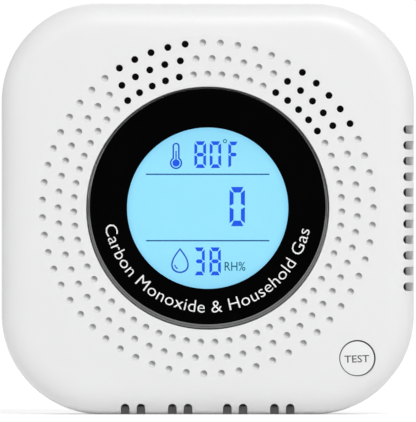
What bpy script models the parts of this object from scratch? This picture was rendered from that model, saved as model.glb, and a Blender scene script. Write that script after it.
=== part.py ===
"""Household carbon monoxide detector as an assembly of separate pieces.

Units are metres and +Z is up.  The origin is the middle of the flat base that the
detector stands on.  Seen from the front, +X is to the right and the front faces -Y.
Depths are given as world y: the front plane is at FRONT_Y and the wall side at BACK_Y.
"""

import math

import bmesh
import bpy
from mathutils import Matrix, Vector

# ------------------------------------------------------------------ casing
BODY_WIDTH = 0.105
BODY_HEIGHT = 0.105
BODY_DEPTH = 0.038
CORNER_RADIUS = 0.0255
WALL = 0.002
FIT_GAP = 0.0003            # clearance between pieces that touch or slide
DOOR_GAP = 0.0004           # clearance round the battery door
SEAM_GAP = 0.0004           # visible line between the two covers
REAR_COVER_DEPTH = 0.013    # how much of the depth the rear cover takes
SHOULDER = 0.0086           # from the edge of the flat front to the side of the casing
SHOULDER_SLOPE = 0.0009     # how far the shoulder leans back before it rounds over
SHOULDER_DEPTH = 0.009      # front plane to the start of the straight side
SHOULDER_BAND = 0.0006      # least width of the plain slope round the flat front
EDGE_POWER = 2.6            # squareness of the rounded edge
BACK_EDGE_RADIUS = 0.004
OUTLINE_POINTS = 64

# ------------------------------------------------------- perforated front
RING_COUNT = 3
RING_PITCH = 0.004
RING_MARGIN = 0.0018        # outer ring to the edge of the flat front
RING_HOLES = 59
RING_PHASES = (0.2, 2.9, 4.6)   # degrees, outer ring first
OPEN_HOLES = tuple(range(5, 10)) + tuple(range(16, 21))
HOLE_RADIUS = 0.00085
SLOT_PITCH = 0.004
SLOT_WIDTH = 0.0021
SLOT_REACH = 0.0027         # how far a slot runs in from the side
SLOT_LENGTH = 0.011         # from the front plane back along the side
SIDE_SLOTS = 11
BASE_SLOT_PLACES = (0.005, 0.009, 0.017, 0.021)

# ------------------------------------------------------ window and display
LENS_TO_RING = 0.0035       # edge of the window to the inner ring of holes
LENS_THICKNESS = 0.0018
LENS_BEVEL = 0.0003
LENS_SET_BACK = 0.0001
LENS_LEDGE = 0.0039
LEDGE_THICKNESS = 0.0015
TAPE_THICKNESS = 0.0005
TAPE_WIDTH = 0.0029
GLASS_SIZE = 0.044
GLASS_THICKNESS = 0.0022
BACKLIGHT_THICKNESS = 0.0025
STRIP_WIDTH = 0.0018
FRAME_WALL = 0.0016

# ------------------------------------------------------------ main board
BOARD_THICKNESS = 0.0016
BOARD_MARGIN = 0.0085       # edge of the main board to the outside of the casing
BOARD_CORNER = 0.010
CHIP_SIZE = 0.010
CHIP_HEIGHT = 0.0014
SOUNDER_RADIUS = 0.0095
SOUNDER_WALL = 0.0012
SOUNDER_HEIGHT = 0.0049
SOUNDER_MOUTH = 0.002
DISC_THICKNESS = 0.0006
SOUNDER_ANGLE = 112.6
GAS_SENSOR_RADIUS = 0.00475
GAS_SENSOR_HEIGHT = 0.006
GAS_SENSOR_ANGLE = 45.5
CO_SENSOR_RADIUS = 0.007
CO_SENSOR_HEIGHT = 0.009
HUMIDITY_SENSOR_SIZE = (0.006, 0.0018, 0.004)
SCREEN_THICKNESS = 0.0004
SCREEN_MARGIN = 0.0003

# ---------------------------------------------------------- test button
BUTTON_FROM_SIDE = 0.0145   # button axis to the right side of the casing
BUTTON_FROM_BASE = 0.0143   # button axis to the base
BUTTON_RADIUS = 0.00433
BUTTON_TRAVEL = 0.0006
BUTTON_FLANGE = 0.0012      # flange beyond the cap, all round
BUTTON_FLANGE_HEIGHT = 0.0008
BUTTON_FRONT = 0.0004       # face of the cap behind the front plane
BUTTON_CAP = 0.0028         # from the face to the flange
BUTTON_STEM_RADIUS = 0.0016
BUTTON_STEM = 0.0008
GUIDE_WALL = 0.0015
SWITCH_SIZE = 0.006
SWITCH_BODY_HEIGHT = 0.0032
PLUNGER_RADIUS = 0.0017
PLUNGER_LENGTH = 0.0021
PLUNGER_TRAVEL = 0.0003

# -------------------------------------------------------------- screws
CASE_SCREW_INSET = 0.008    # screw axis to the side of the casing
CASE_SCREW_LEVEL = 0.026    # screw axis to the top or the base
BOSS_RADIUS = 0.0035
POST_RADIUS = 0.0042
SCREW_HEAD_RADIUS = 0.0026
SCREW_HEAD_HEIGHT = 0.0022
SCREW_SHANK_RADIUS = 0.0012
CASE_SCREW_BITE = 0.0095    # thread inside the front boss
SCREW_SEAT = 0.0025         # rear post from the seam to the screw head
BOARD_SCREW_FROM_SIDE = 0.0155
BOARD_SCREW_FROM_END = 0.0165   # board screw axis to the top or the base
BOARD_SCREW_OVER_BUTTON = 0.0162
SMALL_POST_RADIUS = 0.0028
SMALL_HEAD_RADIUS = 0.0021
SMALL_HEAD_HEIGHT = 0.0016
SMALL_SHANK_RADIUS = 0.001
SMALL_SCREW_BITE = 0.0045

# ----------------------------------------------------- battery and door
BATTERY_SIZE = (0.0485, 0.0175, 0.0265)
BATTERY_EDGE = 0.0015
STUD_RADIUS = 0.003
STUD_HEIGHT = 0.0026
STUD_SPACING = 0.0127
SNAP_SIZE = (0.0046, 0.0145, 0.0245)
LEAD_RADIUS = 0.0006
LEAD_SPACING = 0.003
LEAD_REACH = 0.0065         # how far the leads run past the well before they turn
WELL_CLEARANCE = 0.0005
WELL_WALL = 0.0015
WELL_LEDGE = 0.0012
HINGE_HEIGHT = 0.008
HINGE_DEPTH = 0.0022        # hinge axis in from the back plane
DOOR_BARREL_RADIUS = 0.0019
DOOR_THICKNESS = 0.002
DOOR_PEG_RADIUS = 0.0009
DOOR_PEG_LENGTH = 0.0012
LATCH_WIDTH = 0.010
LATCH_REACH = 0.0018

# ------------------------------------------------- power board and plug
POWER_BOARD_WIDTH = 0.072
POWER_BOARD_DEPTH = 0.0046  # rear face of the power board in from the back plane
POWER_BOARD_RAISE = 0.0022  # lower edge above the battery well
POWER_BOARD_TOP = 0.0105    # upper edge below the top of the casing
PLUG_HEIGHT = 0.0725
PLUG_BLOCK_SIZE = (0.030, 0.022)
PLUG_FLANGE = 0.002
BLADE_SIZE = (0.0015, 0.00635)
BLADE_LENGTH = 0.0175
BLADE_SPACING = 0.0127
BLADE_HOLE_RADIUS = 0.0016
BLADE_HOLE_REACH = 0.0117
BLADE_TAIL = 0.0030         # how far a blade runs past the power board
TRANSFORMER_SIZE = (0.018, 0.014, 0.016)
FILM_CAPACITOR_SIZE = (0.013, 0.011, 0.006)
OUTPUT_CAPACITOR_RADIUS = 0.004
OUTPUT_CAPACITOR_HEIGHT = 0.012
FUSE_RADIUS = 0.0018
FUSE_LENGTH = 0.010
VARISTOR_RADIUS = 0.0045
VARISTOR_THICKNESS = 0.0036
RIBBON_WIDTH = 0.009
RIBBON_THICKNESS = 0.001
LABEL_SIZE = (0.050, 0.010)
LABEL_THICKNESS = 0.00025
LABEL_RECESS = 0.0006

# ------------------------------------------------------ derived places
FRONT_Y = -BODY_DEPTH / 2
BACK_Y = BODY_DEPTH / 2
MID_Z = BODY_HEIGHT / 2
HALF_WIDTH = BODY_WIDTH / 2
HALF_HEIGHT = BODY_HEIGHT / 2
SEAM_Y = BACK_Y - REAR_COVER_DEPTH
SLOT_END_Y = FRONT_Y + SLOT_LENGTH
EDGE_WIDTH = SHOULDER - SHOULDER_BAND
CUT = 0.001                 # how far a cutter runs past what it cuts

FLAT_RADIUS = min(HALF_WIDTH, HALF_HEIGHT) - SHOULDER
OUTER_RING_RADIUS = FLAT_RADIUS - RING_MARGIN
INNER_RING_RADIUS = OUTER_RING_RADIUS - (RING_COUNT - 1) * RING_PITCH
LENS_HOLE_RADIUS = INNER_RING_RADIUS - LENS_TO_RING + FIT_GAP
LENS_RADIUS = LENS_HOLE_RADIUS - FIT_GAP
LEDGE_RADIUS = LENS_RADIUS - LENS_LEDGE

LENS_FRONT_Y = FRONT_Y + LENS_SET_BACK
TAPE_FRONT_Y = LENS_FRONT_Y + LENS_THICKNESS + FIT_GAP
LEDGE_FRONT_Y = TAPE_FRONT_Y + TAPE_THICKNESS + FIT_GAP
LEDGE_REAR_Y = LEDGE_FRONT_Y + LEDGE_THICKNESS
GLASS_FRONT_Y = LEDGE_REAR_Y + FIT_GAP
LIGHT_FRONT_Y = GLASS_FRONT_Y + GLASS_THICKNESS + FIT_GAP
LIGHT_REAR_Y = LIGHT_FRONT_Y + BACKLIGHT_THICKNESS
BOARD_FRONT_Y = LIGHT_REAR_Y + FIT_GAP
BOARD_REAR_Y = BOARD_FRONT_Y + BOARD_THICKNESS
FRAME_INNER = GLASS_SIZE / 2 + FIT_GAP
FRAME_OUTER = FRAME_INNER + FRAME_WALL
COVER_INNER_Y = FRONT_Y + WALL

BUTTON_X = HALF_WIDTH - BUTTON_FROM_SIDE
BUTTON_Z = BUTTON_FROM_BASE
BUTTON_HOLE_RADIUS = BUTTON_RADIUS + FIT_GAP
FLANGE_RADIUS = BUTTON_RADIUS + BUTTON_FLANGE
FLANGE_ROOM_RADIUS = FLANGE_RADIUS + FIT_GAP
GUIDE_RADIUS = FLANGE_ROOM_RADIUS + GUIDE_WALL
BUTTON_FACE_Y = FRONT_Y + BUTTON_FRONT
FLANGE_FRONT_Y = BUTTON_FACE_Y + BUTTON_CAP
FLANGE_REAR_Y = FLANGE_FRONT_Y + BUTTON_FLANGE_HEIGHT
STEM_END_Y = FLANGE_REAR_Y + BUTTON_STEM
GUIDE_END_Y = FLANGE_REAR_Y + BUTTON_TRAVEL + FIT_GAP
PLUNGER_FRONT_Y = STEM_END_Y + BUTTON_TRAVEL - PLUNGER_TRAVEL
SWITCH_REAR_Y = BOARD_FRONT_Y - FIT_GAP
SWITCH_FRONT_Y = SWITCH_REAR_Y - SWITCH_BODY_HEIGHT
SWITCH_POCKET_Y = PLUNGER_FRONT_Y + PLUNGER_LENGTH + PLUNGER_TRAVEL + FIT_GAP

CASE_SCREW_X = HALF_WIDTH - CASE_SCREW_INSET
CASE_SCREW_Z = HALF_HEIGHT - CASE_SCREW_LEVEL
POST_X = HALF_WIDTH - BOARD_SCREW_FROM_SIDE
POST_Z = HALF_HEIGHT - BOARD_SCREW_FROM_END
BOARD_SCREW_PLACES = (      # x, and height above the middle; the last one clears the button
    (-POST_X, POST_Z),
    (POST_X, POST_Z),
    (-POST_X, -POST_Z),
    (BUTTON_X, BUTTON_Z + BOARD_SCREW_OVER_BUTTON - MID_Z),
)
BOARD_HALF_WIDTH = HALF_WIDTH - BOARD_MARGIN
BOARD_HALF_HEIGHT = HALF_HEIGHT - BOARD_MARGIN

HINGE_Y = BACK_Y - HINGE_DEPTH
HINGE_Z = HINGE_HEIGHT
DOOR_FACE_Y = HINGE_Y + DOOR_BARREL_RADIUS
DOOR_INNER_Y = DOOR_FACE_Y - DOOR_THICKNESS
BATTERY_REAR_Y = DOOR_INNER_Y - 0.0004
BATTERY_FRONT_Y = BATTERY_REAR_Y - BATTERY_SIZE[1]
WELL_FLOOR_Y = BATTERY_FRONT_Y - FIT_GAP
WELL_LENGTH = BATTERY_SIZE[0] + SNAP_SIZE[0] + 0.004
WELL_HALF = WELL_LENGTH / 2
WELL_LOW_Z = HINGE_Z + DOOR_BARREL_RADIUS + DOOR_GAP + WELL_LEDGE
WELL_HIGH_Z = WELL_LOW_Z + BATTERY_SIZE[2] + 2 * WELL_CLEARANCE
DOOR_HALF = WELL_HALF + WELL_LEDGE
DOOR_TOP_Z = WELL_HIGH_Z + WELL_LEDGE
SEAT_HALF = DOOR_HALF + DOOR_GAP
SEAT_TOP_Z = DOOR_TOP_Z + DOOR_GAP
SEAT_LOW_Z = HINGE_Z - DOOR_BARREL_RADIUS - DOOR_GAP
SEAT_Y = DOOR_INNER_Y - FIT_GAP
BLOCK_HALF = SEAT_HALF + DOOR_PEG_LENGTH + 0.0010
BLOCK_LOW_Z = SEAT_LOW_Z - WELL_WALL
BLOCK_HIGH_Z = SEAT_TOP_Z + WELL_WALL
BLOCK_FRONT_Y = HINGE_Y - DOOR_BARREL_RADIUS - DOOR_GAP - WELL_LEDGE
WELL_BOX_HALF = WELL_HALF + WELL_WALL
WELL_BOX_FRONT_Y = WELL_FLOOR_Y - WELL_WALL
BATTERY_X = WELL_HALF - FIT_GAP - BATTERY_SIZE[0] / 2
BATTERY_Z = (WELL_LOW_Z + WELL_HIGH_Z) / 2
BATTERY_Y = (BATTERY_FRONT_Y + BATTERY_REAR_Y) / 2
BATTERY_END_X = BATTERY_X - BATTERY_SIZE[0] / 2
SNAP_X = BATTERY_END_X - FIT_GAP - SNAP_SIZE[0] / 2
LEAD_Z = BATTERY_Z + 0.006

POWER_REAR_Y = BACK_Y - POWER_BOARD_DEPTH
POWER_FRONT_Y = POWER_REAR_Y - BOARD_THICKNESS
POWER_LOW_Z = BLOCK_HIGH_Z + POWER_BOARD_RAISE
POWER_HIGH_Z = BODY_HEIGHT - POWER_BOARD_TOP
POWER_Z = (POWER_LOW_Z + POWER_HIGH_Z) / 2
POWER_SCREW_X = POWER_BOARD_WIDTH / 2 - 0.005
PLUG_Z = PLUG_HEIGHT
BLADE_TIP_Y = BACK_Y + BLADE_LENGTH
BLADE_TAIL_Y = POWER_FRONT_Y - BLADE_TAIL
PART_REAR_Y = POWER_FRONT_Y - FIT_GAP   # rear face of what stands on the power board
LABEL_Z = (PLUG_Z + PLUG_BLOCK_SIZE[1] / 2 + BODY_HEIGHT - BACK_EDGE_RADIUS) / 2
RIBBON_X = -POWER_BOARD_WIDTH / 2 + RIBBON_WIDTH / 2 - FIT_GAP


# ------------------------------------------------------------- scene set-up
def clear_scene():
    for item in list(bpy.data.objects):
        bpy.data.objects.remove(item, do_unlink=True)


def collection(name):
    made = bpy.data.collections.new(name)
    bpy.context.scene.collection.children.link(made)
    return made


def material(name, colour, roughness, metallic=0.0):
    made = bpy.data.materials.new(name)
    made.use_nodes = True
    shader = made.node_tree.nodes["Principled BSDF"]
    shader.inputs["Base Color"].default_value = (*colour, 1.0)
    shader.inputs["Roughness"].default_value = roughness
    shader.inputs["Metallic"].default_value = metallic
    return made


clear_scene()
PARTS = collection("carbon_monoxide_detector")
CUTTERS = collection("cutters")

WHITE_CASE = material("white_case", (0.86, 0.86, 0.86), 0.42)
BLACK_GLOSS = material("black_window", (0.004, 0.004, 0.005), 0.08)
DISPLAY_BLUE = material("display_glass", (0.33, 0.80, 1.0), 0.12)
DIFFUSER = material("light_guide", (0.85, 0.92, 0.95), 0.35)
BLACK_FOAM = material("black_foam", (0.02, 0.02, 0.02), 0.95)
BLACK_PLASTIC = material("black_plastic", (0.02, 0.02, 0.022), 0.5)
GREEN_BOARD = material("circuit_board", (0.02, 0.16, 0.06), 0.45)
STEEL = material("plated_steel", (0.60, 0.60, 0.58), 0.35, 1.0)
BRASS = material("nickel_brass", (0.72, 0.66, 0.50), 0.3, 1.0)
CARBON_RUBBER = material("contact_rubber", (0.05, 0.05, 0.055), 0.8)
YELLOW_FILM = material("film_capacitor", (0.80, 0.62, 0.08), 0.4)
BLUE_COAT = material("coated_ceramic", (0.05, 0.16, 0.50), 0.4)
FUSE_CERAMIC = material("fuse_ceramic", (0.75, 0.78, 0.78), 0.1)
RED_WIRE = material("red_wire", (0.60, 0.03, 0.03), 0.45)
BLACK_WIRE = material("black_wire", (0.015, 0.015, 0.015), 0.45)
LABEL_GREY = material("label_film", (0.70, 0.70, 0.70), 0.5)
BATTERY_SHELL = material("battery_shell", (0.10, 0.11, 0.13), 0.35, 0.6)
GREY_RIBBON = material("grey_ribbon", (0.45, 0.46, 0.48), 0.5)


# ---------------------------------------------------------- shape helpers
def add_object(name, mesh, look=None):
    """Link a mesh as a part when it has a look, or as a cutter when it has none."""
    made = bpy.data.objects.new(name, mesh)
    if look is None:
        made.hide_render = True
        made.display_type = "WIRE"
        CUTTERS.objects.link(made)
    else:
        mesh.materials.append(look)
        PARTS.objects.link(made)
    return made


def from_bmesh(name, shape, look=None):
    mesh = bpy.data.meshes.new(name)
    shape.to_mesh(mesh)
    shape.free()
    return add_object(name, mesh, look)


def cut(target, cutter, operation="DIFFERENCE"):
    step = target.modifiers.new(operation.lower() + "_" + cutter.name, "BOOLEAN")
    step.operation = operation
    step.solver = "EXACT"
    step.object = cutter
    return target


def bevel(target, width, segments=2, angle=40):
    step = target.modifiers.new("rounded_edges", "BEVEL")
    step.width = width
    step.segments = segments
    step.limit_method = "ANGLE"
    step.angle_limit = math.radians(angle)
    return target


def add_block(shape, low, high):
    """Add a box between two corners to a bmesh."""
    low, high = Vector(low), Vector(high)
    size = Matrix.Diagonal((*(high - low), 1.0))
    place = Matrix.Translation((low + high) / 2)
    bmesh.ops.create_cube(shape, size=1.0, matrix=place @ size)


def add_rod(shape, radius, start, end, sides=24):
    """Add a solid cylinder between two points to a bmesh."""
    start, end = Vector(start), Vector(end)
    turn = (end - start).to_track_quat("Z", "Y").to_matrix().to_4x4()
    place = Matrix.Translation((start + end) / 2) @ turn
    bmesh.ops.create_cone(shape, cap_ends=True, segments=sides, radius1=radius,
                          radius2=radius, depth=(end - start).length, matrix=place)


def block(name, centre, size, look=None, edge=0.0):
    """A box with its origin at its middle, with rounded edges where edge is given."""
    shape = bmesh.new()
    half = Vector(size) / 2
    add_block(shape, -half, half)
    made = from_bmesh(name, shape, look)
    made.location = centre
    if edge:
        bevel(made, edge)
    return made


def turned(name, profile, centre=(0.0, 0.0), look=None, sides=32, along_x=False):
    """A turned shape from (radius, place) points that run down its outer side.

    The places are world y for a shape on an axis along Y, whose centre is (x, z), or
    world x for a shape on an axis along X, whose centre is (y, z).
    """
    mesh = bpy.data.meshes.new(name)
    points = [(radius, 0.0, -place) for radius, place in profile]
    edges = [(i, i + 1) for i in range(len(points) - 1)]
    if profile[0][0] > 0.0:
        edges.append((len(points) - 1, 0))
    mesh.from_pydata(points, edges, [])
    made = add_object(name, mesh, look)
    if along_x:
        made.location = (0.0, centre[0], centre[1])
        made.rotation_euler = (0.0, math.radians(-90), 0.0)
    else:
        made.location = (centre[0], 0.0, centre[1])
        made.rotation_euler = (math.radians(90), 0.0, 0.0)
    screw = made.modifiers.new("turn", "SCREW")
    screw.steps = sides
    screw.render_steps = sides
    screw.use_merge_vertices = True
    screw.merge_threshold = 0.00001
    screw.use_smooth_shade = False
    return made


def rod_profile(radius, start, end):
    """The profile of a plain cylinder for turned()."""
    return [(0.0, start), (radius, start), (radius, end), (0.0, end)]


def ring_profile(inner, outer, start, end):
    """The profile of a plain ring for turned()."""
    return [(inner, start), (outer, start), (outer, end), (inner, end)]


def rounded_outline(half_width, half_height, corner, steps=6):
    """Points of a rounded rectangle, anticlockwise."""
    points = []
    quarters = ((1, 1, 0), (-1, 1, 90), (-1, -1, 180), (1, -1, 270))
    for side_x, side_z, start in quarters:
        for step in range(steps + 1):
            angle = math.radians(start + 90 * step / steps)
            points.append((side_x * (half_width - corner) + corner * math.cos(angle),
                           side_z * (half_height - corner) + corner * math.sin(angle)))
    return points


def plate(name, outlines, centre, depth, look=None):
    """A flat piece facing -Y from closed outlines in x and z; later outlines are holes."""
    curve = bpy.data.curves.new(name, "CURVE")
    curve.dimensions = "2D"
    curve.fill_mode = "BOTH"
    curve.extrude = depth / 2
    for outline in outlines:
        spline = curve.splines.new("POLY")
        spline.points.add(len(outline) - 1)
        for point, (x, z) in zip(spline.points, outline):
            point.co = (x, z, 0.0, 1.0)
        spline.use_cyclic_u = True
    made = bpy.data.objects.new(name, curve)
    made.location = centre
    made.rotation_euler = (math.radians(90), 0.0, 0.0)
    PARTS.objects.link(made)
    return as_mesh(made, look)


def as_mesh(made, look=None):
    """Turn a curve object into a welded mesh object of the same name and place."""
    bpy.context.view_layer.update()
    graph = bpy.context.evaluated_depsgraph_get()
    mesh = bpy.data.meshes.new_from_object(made.evaluated_get(graph))
    place = made.matrix_world.copy()
    name = made.name
    bpy.data.objects.remove(made, do_unlink=True)
    shape = bmesh.new()
    shape.from_mesh(mesh)
    bmesh.ops.remove_doubles(shape, verts=shape.verts, dist=0.000001)
    shape.to_mesh(mesh)
    shape.free()
    mesh.name = name
    mesh.materials.clear()
    solid = add_object(name, mesh, look)
    solid.matrix_world = place
    return solid


def wire(name, points, radius, look):
    """A round lead along a smooth list of points, with closed ends."""
    curve = bpy.data.curves.new(name, "CURVE")
    curve.dimensions = "3D"
    curve.bevel_depth = radius
    curve.bevel_resolution = 2
    curve.use_fill_caps = True
    spline = curve.splines.new("POLY")
    spline.points.add(len(points) - 1)
    for point, place in zip(spline.points, points):
        point.co = (*place, 1.0)
    made = bpy.data.objects.new(name, curve)
    curve.materials.append(look)
    PARTS.objects.link(made)
    return made


def on_ring(radius, degrees):
    angle = math.radians(degrees)
    return radius * math.cos(angle), MID_Z + radius * math.sin(angle)


# --------------------------------------------------------- casing surface
def side_radius(angle, inset):
    """Distance from the middle to the casing's rounded-square outline at an angle."""
    across, up = abs(math.cos(angle)), abs(math.sin(angle))
    half_width, half_height = HALF_WIDTH - inset, HALF_HEIGHT - inset
    corner = CORNER_RADIUS - inset
    centre_x, centre_z = half_width - corner, half_height - corner
    if half_width * up <= centre_z * across:
        return half_width / across
    if half_height * across <= centre_x * up:
        return half_height / up
    along = across * centre_x + up * centre_z
    return along + math.sqrt(along**2 - centre_x**2 - centre_z**2 + corner**2)


def casing_ring(shape, inset, y):
    """One ring of points on the outline, moved inwards by inset."""
    ring = []
    for index in range(OUTLINE_POINTS):
        angle = 2 * math.pi * index / OUTLINE_POINTS
        radius = side_radius(angle, inset)
        place = (radius * math.cos(angle), y, MID_Z + radius * math.sin(angle))
        ring.append(shape.verts.new(place))
    return ring


def shoulder_ring(shape, inset, from_side, round_off):
    """One ring of the front; from_side is None for the edge of the flat front."""
    ring = []
    for index in range(OUTLINE_POINTS):
        angle = 2 * math.pi * index / OUTLINE_POINTS
        outline = side_radius(angle, inset)
        radius = FLAT_RADIUS
        if from_side is not None:
            radius = side_radius(angle, inset + from_side)
        slope = SHOULDER_SLOPE * (radius - FLAT_RADIUS) / (outline - FLAT_RADIUS)
        y = FRONT_Y + inset + slope + (SHOULDER_DEPTH - SHOULDER_SLOPE) * round_off
        ring.append(shape.verts.new((radius * math.cos(angle), y, MID_Z + radius * math.sin(angle))))
    return ring


def join_rings(shape, rings, closed=False):
    pairs = list(zip(rings, rings[1:]))
    if closed:
        pairs.append((rings[-1], rings[0]))
    for first, second in pairs:
        for index in range(OUTLINE_POINTS):
            after = (index + 1) % OUTLINE_POINTS
            shape.faces.new((first[index], first[after], second[after], second[index]))


def front_skin(name, inset, rim_y, close_rim, look=None):
    """The pillow-edged front surface, moved inwards by inset, down to rim_y."""
    shape = bmesh.new()
    steps = 6
    rings = [shoulder_ring(shape, inset, None, 0.0)]
    for step in range(steps + 1):
        turn = math.radians(90) * step / steps
        from_side = EDGE_WIDTH * (1 - math.sin(turn) ** (2 / EDGE_POWER))
        round_off = 1 - math.cos(turn) ** (2 / EDGE_POWER)
        rings.append(shoulder_ring(shape, inset, from_side, round_off))
    rings.append(casing_ring(shape, inset, rim_y))
    join_rings(shape, rings)
    shape.faces.new(rings[0])
    if close_rim:
        shape.faces.new(rings[-1])
    face_outwards(shape, Vector((0.0, -1.0, 0.0)), close_rim)
    return from_bmesh(name, shape, look)


def rear_skin(name, inset, rim_y, close_rim, look=None):
    """The rear cover's outer surface with its rounded back edge, from rim_y back."""
    shape = bmesh.new()
    rings = [casing_ring(shape, inset, rim_y)]
    steps = 4
    for step in range(steps + 1):
        turn = math.radians(90) * step / steps
        tuck = BACK_EDGE_RADIUS * (1 - math.cos(turn))
        y = BACK_Y - inset - BACK_EDGE_RADIUS * (1 - math.sin(turn))
        rings.append(casing_ring(shape, inset + tuck, y))
    join_rings(shape, rings)
    shape.faces.new(rings[-1])
    if close_rim:
        shape.faces.new(rings[0])
    face_outwards(shape, Vector((0.0, 1.0, 0.0)), close_rim)
    return from_bmesh(name, shape, look)


def face_outwards(shape, outside, closed):
    """Point all faces out; an open skin is turned by its largest face."""
    bmesh.ops.recalc_face_normals(shape, faces=shape.faces)
    largest = max(shape.faces, key=lambda face: face.calc_area())
    if not closed and largest.normal.dot(outside) < 0:
        bmesh.ops.reverse_faces(shape, faces=shape.faces)


def make_shell(skin):
    step = skin.modifiers.new("wall", "SOLIDIFY")
    step.thickness = WALL
    step.offset = -1.0
    step.use_even_offset = True
    return skin


def tongue(name):
    """The ring on the rear cover that fits inside the front cover's rim."""
    outer = WALL + FIT_GAP
    inner = outer + 0.0012
    root = WALL / 2
    section = ((root, SEAM_Y + 0.0008), (outer, SEAM_Y + 0.0008), (outer, SEAM_Y - 0.0025),
               (inner, SEAM_Y - 0.0025), (inner, SEAM_Y + 0.003), (root, SEAM_Y + 0.003))
    shape = bmesh.new()
    rings = [casing_ring(shape, inset, y) for inset, y in section]
    join_rings(shape, rings, closed=True)
    bmesh.ops.recalc_face_normals(shape, faces=shape.faces)
    return from_bmesh(name, shape)


def screw_places():
    """The four case screws, upper left first, as (x, height above the middle)."""
    return [(side * CASE_SCREW_X, MID_Z + level * CASE_SCREW_Z)
            for level in (1, -1) for side in (-1, 1)]


# ------------------------------------------------------------ front cover
def slot_outline(x, z, inward_x, inward_z):
    """A slot with a round inner end that runs out past the side of the casing."""
    outline = []
    radius = SLOT_WIDTH / 2
    turn = math.atan2(inward_z, inward_x)
    for step in range(5):
        angle = turn - math.pi / 2 + math.pi * step / 4
        outline.append((x + radius * math.cos(angle), z + radius * math.sin(angle)))
    reach = SLOT_REACH - radius + CUT
    last, first = outline[-1], outline[0]
    outline.append((last[0] - inward_x * reach, last[1] - inward_z * reach))
    outline.append((first[0] - inward_x * reach, first[1] - inward_z * reach))
    return outline


def add_prism(shape, outline, low_y, high_y):
    """Add a prism along Y with the given outline in x and z to a bmesh."""
    bottom = [shape.verts.new((x, low_y, z)) for x, z in outline]
    face = shape.faces.new(bottom)
    grown = bmesh.ops.extrude_face_region(shape, geom=[face])["geom"]
    moved = [item for item in grown if isinstance(item, bmesh.types.BMVert)]
    bmesh.ops.translate(shape, verts=moved, vec=(0.0, high_y - low_y, 0.0))
    bmesh.ops.recalc_face_normals(shape, faces=shape.faces)


def vent_slot_cutter():
    shape = bmesh.new()
    end = SLOT_REACH - SLOT_WIDTH / 2
    for index in range(SIDE_SLOTS):
        z = MID_Z + (index - (SIDE_SLOTS - 1) / 2) * SLOT_PITCH
        add_prism(shape, slot_outline(HALF_WIDTH - end, z, -1, 0), FRONT_Y - CUT, SLOT_END_Y)
    for place in BASE_SLOT_PLACES:
        for side in (-1, 1):
            outline = slot_outline(side * place, end, 0, 1)
            add_prism(shape, outline, FRONT_Y - CUT, SLOT_END_Y)
    return from_bmesh("vent_slot_cutter", shape)


def perforation_cutter():
    shape = bmesh.new()
    for ring, phase in enumerate(RING_PHASES):
        radius = OUTER_RING_RADIUS - ring * RING_PITCH
        for index in OPEN_HOLES:
            x, z = on_ring(radius, phase + index * 360 / RING_HOLES)
            add_rod(shape, HOLE_RADIUS, (x, FRONT_Y - CUT, z), (x, COVER_INNER_Y + CUT, z), 6)
    return from_bmesh("perforation_cutter", shape)


def front_features():
    """Ledge, button guide, screw bosses and board posts, trimmed inside the wall."""
    shape = bmesh.new()
    deep = FRONT_Y - CUT
    add_rod(shape, LENS_RADIUS + WALL, (0, deep, MID_Z), (0, LEDGE_REAR_Y, MID_Z), 40)
    add_rod(shape, GUIDE_RADIUS, (BUTTON_X, deep, BUTTON_Z), (BUTTON_X, GUIDE_END_Y, BUTTON_Z), 24)
    for x, z in screw_places():
        add_rod(shape, BOSS_RADIUS, (x, deep, z), (x, SEAM_Y - FIT_GAP / 2, z), 20)
    for x, level in BOARD_SCREW_PLACES:
        z = MID_Z + level
        add_rod(shape, SMALL_POST_RADIUS, (x, deep, z), (x, BOARD_FRONT_Y - FIT_GAP, z), 16)
    features = from_bmesh("front_features", shape)
    core = front_skin("front_core", WALL / 2, BACK_Y, True)
    return cut(features, core, "INTERSECT")


def make_front_cover():
    cover = front_skin("front_cover", 0.0, SEAM_Y - SEAM_GAP / 2, False, WHITE_CASE)
    make_shell(cover)
    cut(cover, front_features(), "UNION")
    lens_seat = [(0.0, FRONT_Y - CUT), (LENS_HOLE_RADIUS, FRONT_Y - CUT),
                 (LENS_HOLE_RADIUS, LEDGE_FRONT_Y), (LEDGE_RADIUS, LEDGE_FRONT_Y),
                 (LEDGE_RADIUS, LEDGE_REAR_Y + CUT), (0.0, LEDGE_REAR_Y + CUT)]
    cut(cover, turned("lens_seat_cutter", lens_seat, (0.0, MID_Z), sides=40))
    step_y = FLANGE_FRONT_Y - FIT_GAP
    button_hole = [(0.0, FRONT_Y - CUT), (BUTTON_HOLE_RADIUS, FRONT_Y - CUT),
                   (BUTTON_HOLE_RADIUS, step_y), (FLANGE_ROOM_RADIUS, step_y),
                   (FLANGE_ROOM_RADIUS, GUIDE_END_Y + CUT), (0.0, GUIDE_END_Y + CUT)]
    cut(cover, turned("button_hole_cutter", button_hole, (BUTTON_X, BUTTON_Z), sides=24))
    holes = bmesh.new()
    thread_radius = SCREW_SHANK_RADIUS + FIT_GAP
    for x, z in screw_places():
        start = SEAM_Y - CASE_SCREW_BITE - CUT
        add_rod(holes, thread_radius, (x, start, z), (x, SEAM_Y + CUT, z), 12)
    for x, level in BOARD_SCREW_PLACES:
        start = BOARD_FRONT_Y - SMALL_SCREW_BITE - CUT
        z = MID_Z + level
        add_rod(holes, SMALL_SHANK_RADIUS + FIT_GAP, (x, start, z), (x, BOARD_FRONT_Y, z), 10)
    cut(cover, from_bmesh("front_thread_cutter", holes))
    cut(cover, vent_slot_cutter())
    cut(cover, perforation_cutter())
    return cover


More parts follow.
